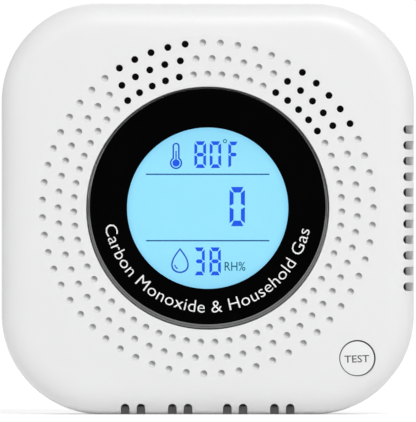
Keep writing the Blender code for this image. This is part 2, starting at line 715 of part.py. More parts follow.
# ------------------------------------------------------------- rear cover
def rear_features():
    """Door frame, battery well, screw posts and board posts, trimmed inside the wall."""
    shape = bmesh.new()
    add_block(shape, (-BLOCK_HALF, BLOCK_FRONT_Y, BLOCK_LOW_Z),
              (BLOCK_HALF, BACK_Y + CUT, BLOCK_HIGH_Z))
    for x, z in screw_places():
        add_rod(shape, POST_RADIUS, (x, SEAM_Y + FIT_GAP / 2, z), (x, BACK_Y + CUT, z), 20)
    for side in (-1, 1):
        x = side * POWER_SCREW_X
        start = POWER_REAR_Y + FIT_GAP
        add_rod(shape, SMALL_POST_RADIUS, (x, start, POWER_Z), (x, BACK_Y + CUT, POWER_Z), 16)
    features = from_bmesh("rear_features", shape)
    well_box = box_cutter("battery_well_box", (-WELL_BOX_HALF, WELL_BOX_FRONT_Y, WELL_LOW_Z - WELL_WALL),
                          (WELL_BOX_HALF, BLOCK_FRONT_Y + CUT, WELL_HIGH_Z + WELL_WALL))
    cut(features, well_box, "UNION")
    core = rear_skin("rear_core", WALL / 2, FRONT_Y, True)
    return cut(features, core, "INTERSECT")


def box_cutter(name, low, high):
    shape = bmesh.new()
    add_block(shape, low, high)
    return from_bmesh(name, shape)


def make_rear_cover():
    cover = rear_skin("rear_cover", 0.0, SEAM_Y + SEAM_GAP / 2, False, WHITE_CASE)
    make_shell(cover)
    cut(cover, tongue("tongue_ring"), "UNION")
    cut(cover, rear_features(), "UNION")
    past = BACK_Y + CUT
    cut(cover, box_cutter("door_seat_cutter", (-SEAT_HALF, SEAT_Y, SEAT_LOW_Z),
                          (SEAT_HALF, past, SEAT_TOP_Z)))
    cut(cover, box_cutter("battery_well_cutter", (-WELL_HALF, WELL_FLOOR_Y, WELL_LOW_Z),
                          (WELL_HALF, past, WELL_HIGH_Z)))
    groove = DOOR_BARREL_RADIUS + DOOR_GAP
    peg_hole = DOOR_PEG_RADIUS + FIT_GAP
    peg_end = SEAT_HALF + DOOR_PEG_LENGTH + FIT_GAP
    hinge = [(0.0, -peg_end), (peg_hole, -peg_end), (peg_hole, -SEAT_HALF),
             (groove, -SEAT_HALF), (groove, SEAT_HALF), (peg_hole, SEAT_HALF),
             (peg_hole, peg_end), (0.0, peg_end)]
    cut(cover, turned("hinge_cutter", hinge, (HINGE_Y, HINGE_Z), sides=20, along_x=True))
    notch = LATCH_WIDTH / 2 + DOOR_GAP
    cut(cover, box_cutter("latch_cutter", (-notch, SEAT_Y, SEAT_TOP_Z - CUT),
                          (notch, past, DOOR_TOP_Z + LATCH_REACH + DOOR_GAP)))
    window_low = LEAD_Z - LEAD_SPACING / 2 - 0.0015
    cut(cover, box_cutter("lead_window_cutter", (-WELL_BOX_HALF - CUT, WELL_FLOOR_Y + CUT, window_low),
                          (-WELL_HALF + CUT, WELL_FLOOR_Y + 0.006, window_low + LEAD_SPACING + 0.003)))
    plug_half_x = PLUG_BLOCK_SIZE[0] / 2 + FIT_GAP
    plug_half_z = PLUG_BLOCK_SIZE[1] / 2 + FIT_GAP
    cut(cover, box_cutter("plug_opening_cutter", (-plug_half_x, BACK_Y - WALL - CUT, PLUG_Z - plug_half_z),
                          (plug_half_x, past, PLUG_Z + plug_half_z)))
    cut(cover, box_cutter("label_recess_cutter",
                          (-LABEL_SIZE[0] / 2 - FIT_GAP, BACK_Y - LABEL_RECESS,
                           LABEL_Z - LABEL_SIZE[1] / 2 - FIT_GAP),
                          (LABEL_SIZE[0] / 2 + FIT_GAP, past,
                           LABEL_Z + LABEL_SIZE[1] / 2 + FIT_GAP)))
    seat_y = SEAM_Y + SCREW_SEAT
    counterbore = [(0.0, SEAM_Y - CUT), (SCREW_SHANK_RADIUS + FIT_GAP, SEAM_Y - CUT),
                   (SCREW_SHANK_RADIUS + FIT_GAP, seat_y), (SCREW_HEAD_RADIUS + FIT_GAP, seat_y),
                   (SCREW_HEAD_RADIUS + FIT_GAP, past), (0.0, past)]
    for number, place in enumerate(screw_places(), start=1):
        cut(cover, turned(f"case_screw_cutter_{number}", counterbore, place, sides=16))
    holes = bmesh.new()
    for side in (-1, 1):
        x = side * POWER_SCREW_X
        end = POWER_REAR_Y + POWER_BOARD_DEPTH - WALL
        add_rod(holes, SMALL_SHANK_RADIUS + FIT_GAP, (x, POWER_REAR_Y - CUT, POWER_Z), (x, end, POWER_Z), 10)
    cut(cover, from_bmesh("power_thread_cutter", holes))
    return cover


def make_battery_door():
    """The door's origin is on its hinge axis."""
    barrel = [(0.0, -DOOR_HALF - DOOR_PEG_LENGTH), (DOOR_PEG_RADIUS, -DOOR_HALF - DOOR_PEG_LENGTH),
              (DOOR_PEG_RADIUS, -DOOR_HALF), (DOOR_BARREL_RADIUS, -DOOR_HALF),
              (DOOR_BARREL_RADIUS, DOOR_HALF), (DOOR_PEG_RADIUS, DOOR_HALF),
              (DOOR_PEG_RADIUS, DOOR_HALF + DOOR_PEG_LENGTH), (0.0, DOOR_HALF + DOOR_PEG_LENGTH)]
    shape = bmesh.new()
    face, inner = DOOR_FACE_Y - HINGE_Y, DOOR_INNER_Y - HINGE_Y
    top = DOOR_TOP_Z - HINGE_Z
    add_block(shape, (-DOOR_HALF, inner, 0.0), (DOOR_HALF, face, top))
    door = from_bmesh("battery_door", shape, WHITE_CASE)
    door.location = (0.0, HINGE_Y, HINGE_Z)
    cut(door, turned("door_barrel", barrel, (HINGE_Y, HINGE_Z), sides=20, along_x=True), "UNION")
    latch = box_cutter("door_latch", (-LATCH_WIDTH / 2, DOOR_INNER_Y + FIT_GAP, DOOR_TOP_Z - CUT),
                       (LATCH_WIDTH / 2, DOOR_FACE_Y - FIT_GAP, DOOR_TOP_Z + LATCH_REACH))
    return cut(door, latch, "UNION")


# ------------------------------------------------------ window and display
def make_display():
    centre = (0.0, MID_Z)
    rear = LENS_FRONT_Y + LENS_THICKNESS
    lens = [(0.0, LENS_FRONT_Y), (LENS_RADIUS - LENS_BEVEL, LENS_FRONT_Y),
            (LENS_RADIUS, LENS_FRONT_Y + LENS_BEVEL), (LENS_RADIUS, rear), (0.0, rear)]
    turned("lens", lens, centre, BLACK_GLOSS, 40)
    tape_outer = LENS_RADIUS - FIT_GAP
    tape = ring_profile(tape_outer - TAPE_WIDTH, tape_outer, TAPE_FRONT_Y, TAPE_FRONT_Y + TAPE_THICKNESS)
    turned("lens_tape", tape, centre, BLACK_FOAM, 32)

    glass_y = GLASS_FRONT_Y + GLASS_THICKNESS / 2
    block("lcd_glass", (0.0, glass_y, MID_Z), (GLASS_SIZE, GLASS_THICKNESS, GLASS_SIZE), DISPLAY_BLUE)
    light_y = (LIGHT_FRONT_Y + LIGHT_REAR_Y) / 2
    strip_z = GLASS_SIZE / 2 - STRIP_WIDTH / 2
    light_height = 2 * (strip_z - STRIP_WIDTH / 2 - FIT_GAP)
    block("lcd_backlight", (0.0, light_y, MID_Z), (GLASS_SIZE, BACKLIGHT_THICKNESS, light_height), DIFFUSER)
    for name, side in (("zebra_strip_upper", 1), ("zebra_strip_lower", -1)):
        place = (0.0, light_y, MID_Z + side * strip_z)
        block(name, place, (GLASS_SIZE - 0.001, BACKLIGHT_THICKNESS, STRIP_WIDTH), CARBON_RUBBER)
    outer = rounded_outline(FRAME_OUTER, FRAME_OUTER, 0.0015, 3)
    inner = rounded_outline(FRAME_INNER, FRAME_INNER, 0.0002, 1)
    frame_y = (GLASS_FRONT_Y + LIGHT_REAR_Y) / 2
    plate("lcd_frame", (outer, inner), (0.0, frame_y, MID_Z), LIGHT_REAR_Y - GLASS_FRONT_Y, WHITE_CASE)


# -------------------------------------------------------------- main board
def make_main_board():
    outline = rounded_outline(BOARD_HALF_WIDTH, BOARD_HALF_HEIGHT, BOARD_CORNER)
    place = (0.0, (BOARD_FRONT_Y + BOARD_REAR_Y) / 2, MID_Z)
    board = plate("main_board", (outline,), place, BOARD_THICKNESS, GREEN_BOARD)
    shape = bmesh.new()
    low, high = BOARD_FRONT_Y - CUT, BOARD_REAR_Y + CUT
    for x, z in screw_places():
        add_rod(shape, BOSS_RADIUS + 2 * FIT_GAP, (x, low, z), (x, high, z), 20)
    for x, level in BOARD_SCREW_PLACES:
        z = MID_Z + level
        add_rod(shape, SMALL_SHANK_RADIUS + FIT_GAP, (x, low, z), (x, high, z), 12)
    cut(board, from_bmesh("board_hole_cutter", shape))


def make_board_parts():
    """What the main board carries on its two faces."""
    front = BOARD_FRONT_Y - FIT_GAP
    rear = BOARD_REAR_Y + FIT_GAP
    chip = (CHIP_SIZE, CHIP_HEIGHT, CHIP_SIZE)
    chip_place = (-0.006, rear + CHIP_HEIGHT / 2, MID_Z + 0.012)
    block("micro_chip", chip_place, chip, BLACK_PLASTIC, 0.0003)

    gas_x, gas_z = on_ring(FRAME_OUTER * math.sqrt(2) + GAS_SENSOR_RADIUS + 0.0015, GAS_SENSOR_ANGLE)
    can_front = front - GAS_SENSOR_HEIGHT
    can = [(0.0, can_front), (GAS_SENSOR_RADIUS * 0.8, can_front),
           (GAS_SENSOR_RADIUS * 0.8, can_front + 0.0012), (GAS_SENSOR_RADIUS * 0.92, can_front + 0.0016),
           (GAS_SENSOR_RADIUS * 0.92, front - 0.0012), (GAS_SENSOR_RADIUS, front - 0.0008),
           (GAS_SENSOR_RADIUS, front), (0.0, front)]
    turned("gas_sensor", can, (gas_x, gas_z), STEEL, 24)

    co_x = CASE_SCREW_X - BOSS_RADIUS - CO_SENSOR_RADIUS + 0.0005
    cell = [(0.0, rear), (CO_SENSOR_RADIUS * 0.94, rear), (CO_SENSOR_RADIUS, rear + 0.0008),
            (CO_SENSOR_RADIUS, rear + CO_SENSOR_HEIGHT - 0.0008),
            (CO_SENSOR_RADIUS * 0.88, rear + CO_SENSOR_HEIGHT), (0.0, rear + CO_SENSOR_HEIGHT)]
    turned("co_sensor", cell, (co_x, MID_Z), STEEL, 24)

    humidity_y = front - HUMIDITY_SENSOR_SIZE[1] / 2
    humidity_z = MID_Z - BOARD_HALF_HEIGHT + HUMIDITY_SENSOR_SIZE[2]
    block("humidity_sensor", (-0.013, humidity_y, humidity_z), HUMIDITY_SENSOR_SIZE, BLACK_PLASTIC, 0.0003)

    sounder_z = MID_Z + FRAME_OUTER + 2 * FIT_GAP + SOUNDER_RADIUS
    sounder_x = (sounder_z - MID_Z) / math.tan(math.radians(SOUNDER_ANGLE))
    case_front = front - SOUNDER_HEIGHT
    room = SOUNDER_RADIUS - SOUNDER_WALL
    cup = [(SOUNDER_MOUTH, case_front), (SOUNDER_RADIUS, case_front), (SOUNDER_RADIUS, front),
           (room, front), (room, case_front + SOUNDER_WALL), (SOUNDER_MOUTH, case_front + SOUNDER_WALL)]
    turned("sounder_case", cup, (sounder_x, sounder_z), BLACK_PLASTIC, 28)
    disc_y = case_front + SOUNDER_HEIGHT / 2
    disc = rod_profile(room - FIT_GAP, disc_y, disc_y + DISC_THICKNESS)
    turned("sounder_disc", disc, (sounder_x, sounder_z), BRASS, 28)


def make_dust_screens():
    """Fine mesh behind the two groups of open holes."""
    low = LENS_RADIUS + WALL + FIT_GAP
    high = OUTER_RING_RADIUS + HOLE_RADIUS + SCREEN_MARGIN
    groups = (("dust_screen_right", OPEN_HOLES[0], OPEN_HOLES[4]),
              ("dust_screen_left", OPEN_HOLES[5], OPEN_HOLES[9]))
    step = 360 / RING_HOLES
    place = (0.0, COVER_INNER_Y + FIT_GAP + SCREEN_THICKNESS / 2, MID_Z)
    for name, first, last in groups:
        start = first * step + min(RING_PHASES) - step / 2
        end = last * step + max(RING_PHASES) + step / 2
        angles = [math.radians(start + (end - start) * i / 8) for i in range(9)]
        outline = [(high * math.cos(a), high * math.sin(a)) for a in angles]
        outline += [(low * math.cos(a), low * math.sin(a)) for a in reversed(angles)]
        plate(name, (outline,), place, SCREEN_THICKNESS, BLACK_FOAM)


def make_button_and_switch():
    face = BUTTON_FACE_Y
    cap = [(0.0, face), (BUTTON_RADIUS - 0.0003, face), (BUTTON_RADIUS, face + 0.0003),
           (BUTTON_RADIUS, FLANGE_FRONT_Y), (FLANGE_RADIUS, FLANGE_FRONT_Y),
           (FLANGE_RADIUS, FLANGE_REAR_Y), (BUTTON_STEM_RADIUS, FLANGE_REAR_Y),
           (BUTTON_STEM_RADIUS, STEM_END_Y), (0.0, STEM_END_Y)]
    centre = (BUTTON_X, BUTTON_Z)
    turned("test_button", cap, centre, WHITE_CASE, 28)
    body_y = (SWITCH_FRONT_Y + SWITCH_REAR_Y) / 2
    size = (SWITCH_SIZE, SWITCH_BODY_HEIGHT, SWITCH_SIZE)
    switch = block("switch_body", (BUTTON_X, body_y, BUTTON_Z), size, BLACK_PLASTIC)
    pocket = rod_profile(PLUNGER_RADIUS + FIT_GAP, SWITCH_FRONT_Y - CUT, SWITCH_POCKET_Y)
    cut(switch, turned("plunger_pocket_cutter", pocket, centre, sides=16))
    end = PLUNGER_FRONT_Y + PLUNGER_LENGTH
    turned("switch_plunger", rod_profile(PLUNGER_RADIUS, PLUNGER_FRONT_Y, end), centre, BLACK_PLASTIC, 16)


# ---------------------------------------------------- power board and plug
def make_power_board():
    outline = rounded_outline(POWER_BOARD_WIDTH / 2, (POWER_HIGH_Z - POWER_LOW_Z) / 2, 0.002, 3)
    place = (0.0, (POWER_FRONT_Y + POWER_REAR_Y) / 2, POWER_Z)
    board = plate("power_board", (outline,), place, BOARD_THICKNESS, GREEN_BOARD)
    shape = bmesh.new()
    low, high = POWER_FRONT_Y - CUT, POWER_REAR_Y + CUT
    for side in (-1, 1):
        x = side * POWER_SCREW_X
        add_rod(shape, SMALL_SHANK_RADIUS + FIT_GAP, (x, low, POWER_Z), (x, high, POWER_Z), 12)
        half_x = BLADE_SIZE[0] / 2 + FIT_GAP
        half_z = BLADE_SIZE[1] / 2 + FIT_GAP
        x = side * BLADE_SPACING / 2
        add_block(shape, (x - half_x, low, PLUG_Z - half_z), (x + half_x, high, PLUG_Z + half_z))
    cut(board, from_bmesh("power_hole_cutter", shape))


def make_power_parts():
    """Transformer, capacitors, fuse and varistor, standing forward of the power board."""
    rear = PART_REAR_Y
    width, depth, height = TRANSFORMER_SIZE
    place = (-0.0205, rear - depth / 2, POWER_HIGH_Z - height / 2 - 0.006)
    block("transformer", place, TRANSFORMER_SIZE, BLACK_PLASTIC, 0.0008)
    depth = FILM_CAPACITOR_SIZE[1]
    place = (0.004, rear - depth / 2, POWER_HIGH_Z - 0.006)
    block("mains_capacitor", place, FILM_CAPACITOR_SIZE, YELLOW_FILM, 0.0006)
    can_front = rear - OUTPUT_CAPACITOR_HEIGHT
    can = [(0.0, can_front), (OUTPUT_CAPACITOR_RADIUS - 0.0004, can_front),
           (OUTPUT_CAPACITOR_RADIUS, can_front + 0.0004), (OUTPUT_CAPACITOR_RADIUS, rear), (0.0, rear)]
    turned("output_capacitor", can, (0.020, POWER_HIGH_Z - 0.010), BLACK_PLASTIC, 20)
    fuse_y = rear - FUSE_RADIUS
    fuse_z = POWER_LOW_Z + 0.005
    fuse = rod_profile(FUSE_RADIUS, -FUSE_LENGTH / 2, FUSE_LENGTH / 2)
    made = turned("fuse", fuse, (fuse_y, fuse_z), FUSE_CERAMIC, 16, along_x=True)
    made.location.x = -0.008
    varistor_y = rear - VARISTOR_RADIUS
    disc = rod_profile(VARISTOR_RADIUS, -VARISTOR_THICKNESS / 2, VARISTOR_THICKNESS / 2)
    made = turned("varistor", disc, (varistor_y, POWER_LOW_Z + 0.006), BLUE_COAT, 20, along_x=True)
    made.location.x = 0.012


def make_plug():
    """The block that holds the two blades; its flange lies inside the rear wall."""
    half_x, half_z = PLUG_BLOCK_SIZE[0] / 2, PLUG_BLOCK_SIZE[1] / 2
    front, step = POWER_REAR_Y + FIT_GAP, BACK_Y - WALL - FIT_GAP
    plug = block("plug_block", (0.0, (front + step) / 2, PLUG_Z),
                 (2 * (half_x + PLUG_FLANGE), step - front, 2 * (half_z + PLUG_FLANGE)), WHITE_CASE)
    nose = box_cutter("plug_nose", (-half_x, front + CUT, PLUG_Z - half_z),
                      (half_x, BACK_Y - FIT_GAP, PLUG_Z + half_z))
    cut(plug, nose, "UNION")
    shape = bmesh.new()
    for side in (-1, 1):
        x = side * BLADE_SPACING / 2
        room_x, room_z = BLADE_SIZE[0] / 2 + FIT_GAP, BLADE_SIZE[1] / 2 + FIT_GAP
        add_block(shape, (x - room_x, front - CUT, PLUG_Z - room_z),
                  (x + room_x, BACK_Y + CUT, PLUG_Z + room_z))
    cut(plug, from_bmesh("blade_slot_cutter", shape))
    for name, side in (("plug_blade_left", -1), ("plug_blade_right", 1)):
        x = side * BLADE_SPACING / 2
        length = BLADE_TIP_Y - BLADE_TAIL_Y
        blade = block(name, (x, (BLADE_TIP_Y + BLADE_TAIL_Y) / 2, PLUG_Z),
                      (BLADE_SIZE[0], length, BLADE_SIZE[1]), BRASS, 0.0003)
        shape = bmesh.new()
        hole_y = BACK_Y + BLADE_HOLE_REACH
        add_rod(shape, BLADE_HOLE_RADIUS, (x - CUT * 2, hole_y, PLUG_Z), (x + CUT * 2, hole_y, PLUG_Z), 16)
        cut(blade, from_bmesh(name + "_hole_cutter", shape))


def make_label():
    y = BACK_Y - LABEL_RECESS + FIT_GAP + LABEL_THICKNESS / 2
    size = (LABEL_SIZE[0], LABEL_THICKNESS, LABEL_SIZE[1])
    block("rating_label", (0.0, y, LABEL_Z), size, LABEL_GREY)


def make_ribbon():
    """A flat ribbon that bends from the main board up to the power board."""
    shape = bmesh.new()
    steps = 12
    start_y, end_y = BOARD_REAR_Y + 2 * FIT_GAP, POWER_FRONT_Y - 2 * FIT_GAP
    start_z, end_z = POWER_LOW_Z + 0.002, POWER_LOW_Z + 0.008
    rows = []
    for step in range(steps + 1):
        share = step / steps
        rise = share * share * (3 - 2 * share)
        y = start_y + (end_y - start_y) * share
        z = start_z + (end_z - start_z) * rise
        rows.append([shape.verts.new((RIBBON_X + side * RIBBON_WIDTH / 2, y, z)) for side in (-1, 1)])
    for first, second in zip(rows, rows[1:]):
        shape.faces.new((first[0], first[1], second[1], second[0]))
    ribbon = from_bmesh("board_ribbon", shape, GREY_RIBBON)
    step = ribbon.modifiers.new("thickness", "SOLIDIFY")
    step.thickness = RIBBON_THICKNESS
    step.offset = 0.0


# ----------------------------------------------------------------- battery
def make_battery():
    place = (BATTERY_X, BATTERY_Y, BATTERY_Z)
    battery = block("battery", place, BATTERY_SIZE, BATTERY_SHELL, BATTERY_EDGE)
    snap = block("battery_snap", (SNAP_X, BATTERY_Y, BATTERY_Z), SNAP_SIZE, BLACK_PLASTIC)
    bevel(snap, 0.001)
    studs, sockets = bmesh.new(), bmesh.new()
    for side in (-1, 1):
        z = BATTERY_Z + side * STUD_SPACING / 2
        add_rod(studs, STUD_RADIUS, (BATTERY_END_X + CUT, BATTERY_Y, z),
                (BATTERY_END_X - STUD_HEIGHT, BATTERY_Y, z), 16)
        add_rod(sockets, STUD_RADIUS + FIT_GAP, (BATTERY_END_X + CUT, BATTERY_Y, z),
                (BATTERY_END_X - STUD_HEIGHT - FIT_GAP, BATTERY_Y, z), 16)
    cut(battery, from_bmesh("battery_studs", studs), "UNION")
    cut(snap, from_bmesh("snap_socket_cutter", sockets))


def lead_route(offset):
    """From the snap through the well's window and forward to the main board."""
    start = Vector((SNAP_X - SNAP_SIZE[0] / 2 - FIT_GAP, WELL_FLOOR_Y + 0.0035, LEAD_Z + offset))
    corner = Vector((-WELL_BOX_HALF - LEAD_REACH, WELL_FLOOR_Y + 0.0035, LEAD_Z + offset))
    end = Vector((corner.x, BOARD_REAR_Y + 2 * FIT_GAP, LEAD_Z + offset))
    bend = 0.003
    points = [start.lerp(corner - Vector((-bend, 0, 0)), i / 3) for i in range(4)]
    middle = corner + Vector((bend, -bend, 0))
    for step in range(1, 5):
        angle = math.radians(90 * step / 4)
        points.append(middle + Vector((-bend * math.sin(angle), bend * math.cos(angle), 0)))
    points += [points[-1].lerp(end, i / 3) for i in range(1, 4)]
    return points


def make_leads():
    wire("battery_lead_red", lead_route(LEAD_SPACING / 2), LEAD_RADIUS, RED_WIRE)
    wire("battery_lead_black", lead_route(-LEAD_SPACING / 2), LEAD_RADIUS, BLACK_WIRE)


# ------------------------------------------------------------------ screws
def pan_screw(name, place, head_y, tip_y, head, shank, head_height):
    """A pan-head screw whose head is at the rear and whose tip points forward."""
    seat = head_y - head_height
    profile = [(0.0, tip_y), (shank * 0.4, tip_y), (shank, tip_y + 0.001), (shank, seat),
               (head, seat), (head, head_y - head_height * 0.4), (head * 0.7, head_y), (0.0, head_y)]
    turned(name, profile, place, STEEL, 16)


def make_screws():
    seat_y = SEAM_Y + SCREW_SEAT + FIT_GAP
    for number, place in enumerate(screw_places(), start=1):
        pan_screw(f"case_screw_{number}", place, seat_y + SCREW_HEAD_HEIGHT, SEAM_Y - CASE_SCREW_BITE,
                  SCREW_HEAD_RADIUS, SCREW_SHANK_RADIUS, SCREW_HEAD_HEIGHT)
    for number, (x, level) in enumerate(BOARD_SCREW_PLACES, start=1):
        head_y = BOARD_REAR_Y + FIT_GAP + SMALL_HEAD_HEIGHT
        pan_screw(f"board_screw_{number}", (x, MID_Z + level), head_y, BOARD_FRONT_Y - SMALL_SCREW_BITE,
                  SMALL_HEAD_RADIUS, SMALL_SHANK_RADIUS, SMALL_HEAD_HEIGHT)
    for number, side in enumerate((-1, 1), start=1):
        head_front = POWER_FRONT_Y - FIT_GAP - SMALL_HEAD_HEIGHT
        tip = POWER_REAR_Y + POWER_BOARD_DEPTH - WALL - FIT_GAP
        profile = [(0.0, head_front), (SMALL_HEAD_RADIUS * 0.7, head_front),
                   (SMALL_HEAD_RADIUS, head_front + SMALL_HEAD_HEIGHT * 0.6),
                   (SMALL_HEAD_RADIUS, head_front + SMALL_HEAD_HEIGHT),
                   (SMALL_SHANK_RADIUS, head_front + SMALL_HEAD_HEIGHT),
                   (SMALL_SHANK_RADIUS, tip), (0.0, tip)]
        turned(f"power_screw_{number}", profile, (side * POWER_SCREW_X, POWER_Z), STEEL, 14)


make_front_cover()
make_rear_cover()
make_battery_door()
make_display()
make_main_board()
make_board_parts()
make_dust_screens()
make_button_and_switch()
make_power_board()
make_power_parts()
make_plug()
make_label()
make_ribbon()
make_battery()
make_leads()
make_screws()
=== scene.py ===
# %% [markdown]
# # A household carbon monoxide detector
#
# The detector is a white, pillow-edged box with a round black window, a lit display, rings of small
# dimples and a TEST button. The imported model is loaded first. It is the fixed frame: every new piece
# takes its place from it, in metres, with Z up, the front facing -Y and the wall side facing +Y.

import math

import bmesh
import bpy
from mathutils import Matrix, Vector


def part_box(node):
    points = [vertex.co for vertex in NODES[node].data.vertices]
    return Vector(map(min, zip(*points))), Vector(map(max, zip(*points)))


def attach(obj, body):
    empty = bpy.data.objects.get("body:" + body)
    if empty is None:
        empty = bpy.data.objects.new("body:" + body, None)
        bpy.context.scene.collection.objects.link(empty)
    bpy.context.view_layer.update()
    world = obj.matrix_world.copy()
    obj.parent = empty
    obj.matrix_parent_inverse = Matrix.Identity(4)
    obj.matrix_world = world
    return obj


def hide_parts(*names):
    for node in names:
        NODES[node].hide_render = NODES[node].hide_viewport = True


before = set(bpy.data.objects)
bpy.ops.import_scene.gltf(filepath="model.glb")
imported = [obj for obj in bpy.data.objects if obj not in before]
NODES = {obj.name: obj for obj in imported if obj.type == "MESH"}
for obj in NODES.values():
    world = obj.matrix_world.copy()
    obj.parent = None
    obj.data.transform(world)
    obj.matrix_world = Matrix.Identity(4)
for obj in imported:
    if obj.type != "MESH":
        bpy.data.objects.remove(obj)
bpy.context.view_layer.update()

# %% [markdown]
# The main sizes come from the frame: the front cover's box gives the outline and the front plane, and the
# window's box gives the middle. The few numbers that a box can't give, such as the corner radius, are
# written here once.

# %% Sizes
MM = 0.001
cover_low, cover_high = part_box("front_cover")
rear_low, rear_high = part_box("rear_cover")
HALF = (cover_high.x - cover_low.x) / 2
MID_Z = (cover_low.z + cover_high.z) / 2
FRONT_Y, RIM_Y = cover_low.y, cover_high.y
SEAM_Y, BACK_Y = RIM_Y + 0.2 * MM, rear_high.y
CORNER = 25.5 * MM
WALL = 2 * MM
GAP = 0.3 * MM
FLAT_RADIUS = HALF - 8.6 * MM
print("half width", HALF, "front", FRONT_Y, "seam", SEAM_Y, "back", BACK_Y)

# %% [markdown]
# ## Camera, light and floor
#
# The detector is shown straight from the front with a long lens, so its sides hardly show. A long lens
# needs a distant camera. The room is soft: a pale sky all round, a dark patch behind the camera so that
# the glossy window stays black, one large lamp above the front and two weak ones at the sides.

# %% Camera
VIEW_WIDTH = 105.78 * MM
CAMERA_AWAY = 5.0
SENSOR = 36.0
camera_data = bpy.data.cameras.new("camera")
camera = bpy.data.objects.new("camera", camera_data)
bpy.context.scene.collection.objects.link(camera)
camera.location = (0.08 * MM, FRONT_Y - CAMERA_AWAY, MID_Z - 0.72 * MM)
camera.rotation_euler = (math.radians(90), 0, 0)
camera_data.sensor_width = SENSOR
PICTURE = (416, 422)
camera_data.lens = SENSOR * CAMERA_AWAY / (VIEW_WIDTH * PICTURE[1] / PICTURE[0])
camera_data.clip_start, camera_data.clip_end = 0.05, 20
bpy.context.scene.camera = camera
bpy.context.scene.view_settings.view_transform = "Standard"
print("lens", round(camera_data.lens), "mm")


# %% Lamps
def lamp(name, place, size, power):
    data = bpy.data.lights.new(name, "AREA")
    data.shape, data.size, data.energy = "DISK", size, power
    made = bpy.data.objects.new(name, data)
    made.location = place
    made.rotation_euler = (Vector((0, 0, MID_Z)) - made.location).to_track_quat("-Z", "Y").to_euler()
    made.visible_camera = False
    bpy.context.scene.collection.objects.link(made)
    return made


lamp("lamp_above", (0.3, -1.15, 1.12), 0.5, 9.0)
lamp("lamp_left", (-1.4, -1.0, 0.5), 0.7, 0.7)
lamp("lamp_right", (1.4, -1.1, 0.2), 0.5, 0.15)
lamp("lamp_front_left", (-0.5, -1.6, 0.62), 0.35, 0.7)
lamp("lamp_front_right", (0.5, -1.6, 0.62), 0.35, 0.9)
lamp("lamp_back", (0.2, 1.4, 0.6), 0.8, 4.0)

# %% Sky
world = bpy.data.worlds.new("studio")
bpy.context.scene.world = world
world.use_nodes = True
sky = world.node_tree
sky.nodes.clear()
ways = sky.nodes.new("ShaderNodeTexCoord")
parts = sky.nodes.new("ShaderNodeSeparateXYZ")
sky.links.new(ways.outputs["Generated"], parts.inputs[0])
toward = sky.nodes.new("ShaderNodeMapRange")
toward.inputs["From Min"].default_value = -0.985
toward.inputs["From Max"].default_value = -0.80
toward.inputs["To Min"].default_value = 0.0
toward.inputs["To Max"].default_value = 0.62
sky.links.new(parts.outputs["Y"], toward.inputs["Value"])
room = sky.nodes.new("ShaderNodeBackground")
sky.links.new(toward.outputs[0], room.inputs["Strength"])
backdrop = sky.nodes.new("ShaderNodeBackground")
backdrop.inputs["Strength"].default_value = 1.05
for light in (room, backdrop):
    light.inputs["Color"].default_value = (1, 1, 1, 1)
seen = sky.nodes.new("ShaderNodeLightPath")
mix = sky.nodes.new("ShaderNodeMixShader")
out = sky.nodes.new("ShaderNodeOutputWorld")
sky.links.new(seen.outputs["Is Camera Ray"], mix.inputs[0])
sky.links.new(room.outputs[0], mix.inputs[1])
sky.links.new(backdrop.outputs[0], mix.inputs[2])
sky.links.new(mix.outputs[0], out.inputs["Surface"])


# %% [markdown]
# ## Tools of the trade
#
# A few small helpers are used for every piece. Blender's operators act on whatever is selected, so each
# helper clears the selection first. `turned` draws a circle and extrudes it ring by ring, as a lathe would.


# %% Selecting and finishing
def alone(piece):
    """Make one piece the only selected and active one."""
    bpy.ops.object.select_all(action="DESELECT")
    piece.select_set(True)
    bpy.context.view_layer.objects.active = piece
    return piece


def select(piece, rule, kind="FACE"):
    """In edit mode, select the faces, edges or points that fit a rule."""
    bpy.ops.mesh.select_mode(type=kind)
    bpy.ops.mesh.select_all(action="DESELECT")
    shape = bmesh.from_edit_mesh(piece.data)
    items = {"FACE": shape.faces, "EDGE": shape.edges, "VERT": shape.verts}[kind]
    count = 0
    for item in items:
        if rule(item):
            item.select_set(True)
            count += 1
    bmesh.update_edit_mesh(piece.data)
    return count


def editing(on):
    bpy.ops.object.mode_set(mode="EDIT" if on else "OBJECT")


def face_out():
    """In edit mode, turn all faces outwards."""
    bpy.ops.mesh.select_all(action="SELECT")
    bpy.ops.mesh.normals_make_consistent(inside=False)


def apply_step(piece, kind, **values):
    """Add one modifier, set its values and apply it."""
    alone(piece)
    step = piece.modifiers.new(kind.lower(), kind)
    for name, value in values.items():
        setattr(step, name, value)
    bpy.ops.object.modifier_apply(modifier=step.name)
    return piece


def cut(piece, cutter, operation="DIFFERENCE"):
    apply_step(piece, "BOOLEAN", operation=operation, solver="EXACT", object=cutter)
    bpy.data.objects.remove(cutter, do_unlink=True)
    return piece


def soft_edges(piece, width, segments=2, angle=40):
    apply_step(piece, "BEVEL", width=width, segments=segments, limit_method="ANGLE",
               angle_limit=math.radians(angle), harden_normals=False)
    return piece


def bevel_edges(piece, rule, width, segments):
    """Bevel only the edges that fit a rule."""
    alone(piece)
    editing(True)
    select(piece, rule, "EDGE")
    bpy.ops.mesh.bevel(offset=width, segments=segments)
    face_out()
    editing(False)
    return piece


def merge_points(piece, nearer):
    """Make points that lie nearer than this one point, and turn the faces outwards."""
    alone(piece)
    editing(True)
    bpy.ops.mesh.select_all(action="SELECT")
    bpy.ops.mesh.remove_doubles(threshold=nearer)
    face_out()
    editing(False)
    return piece


def join(name, pieces):
    """Make several pieces one mesh."""
    alone(pieces[0])
    for piece in pieces:
        piece.select_set(True)
    if len(pieces) > 1:
        bpy.ops.object.join()
    pieces[0].name = name
    return pieces[0]


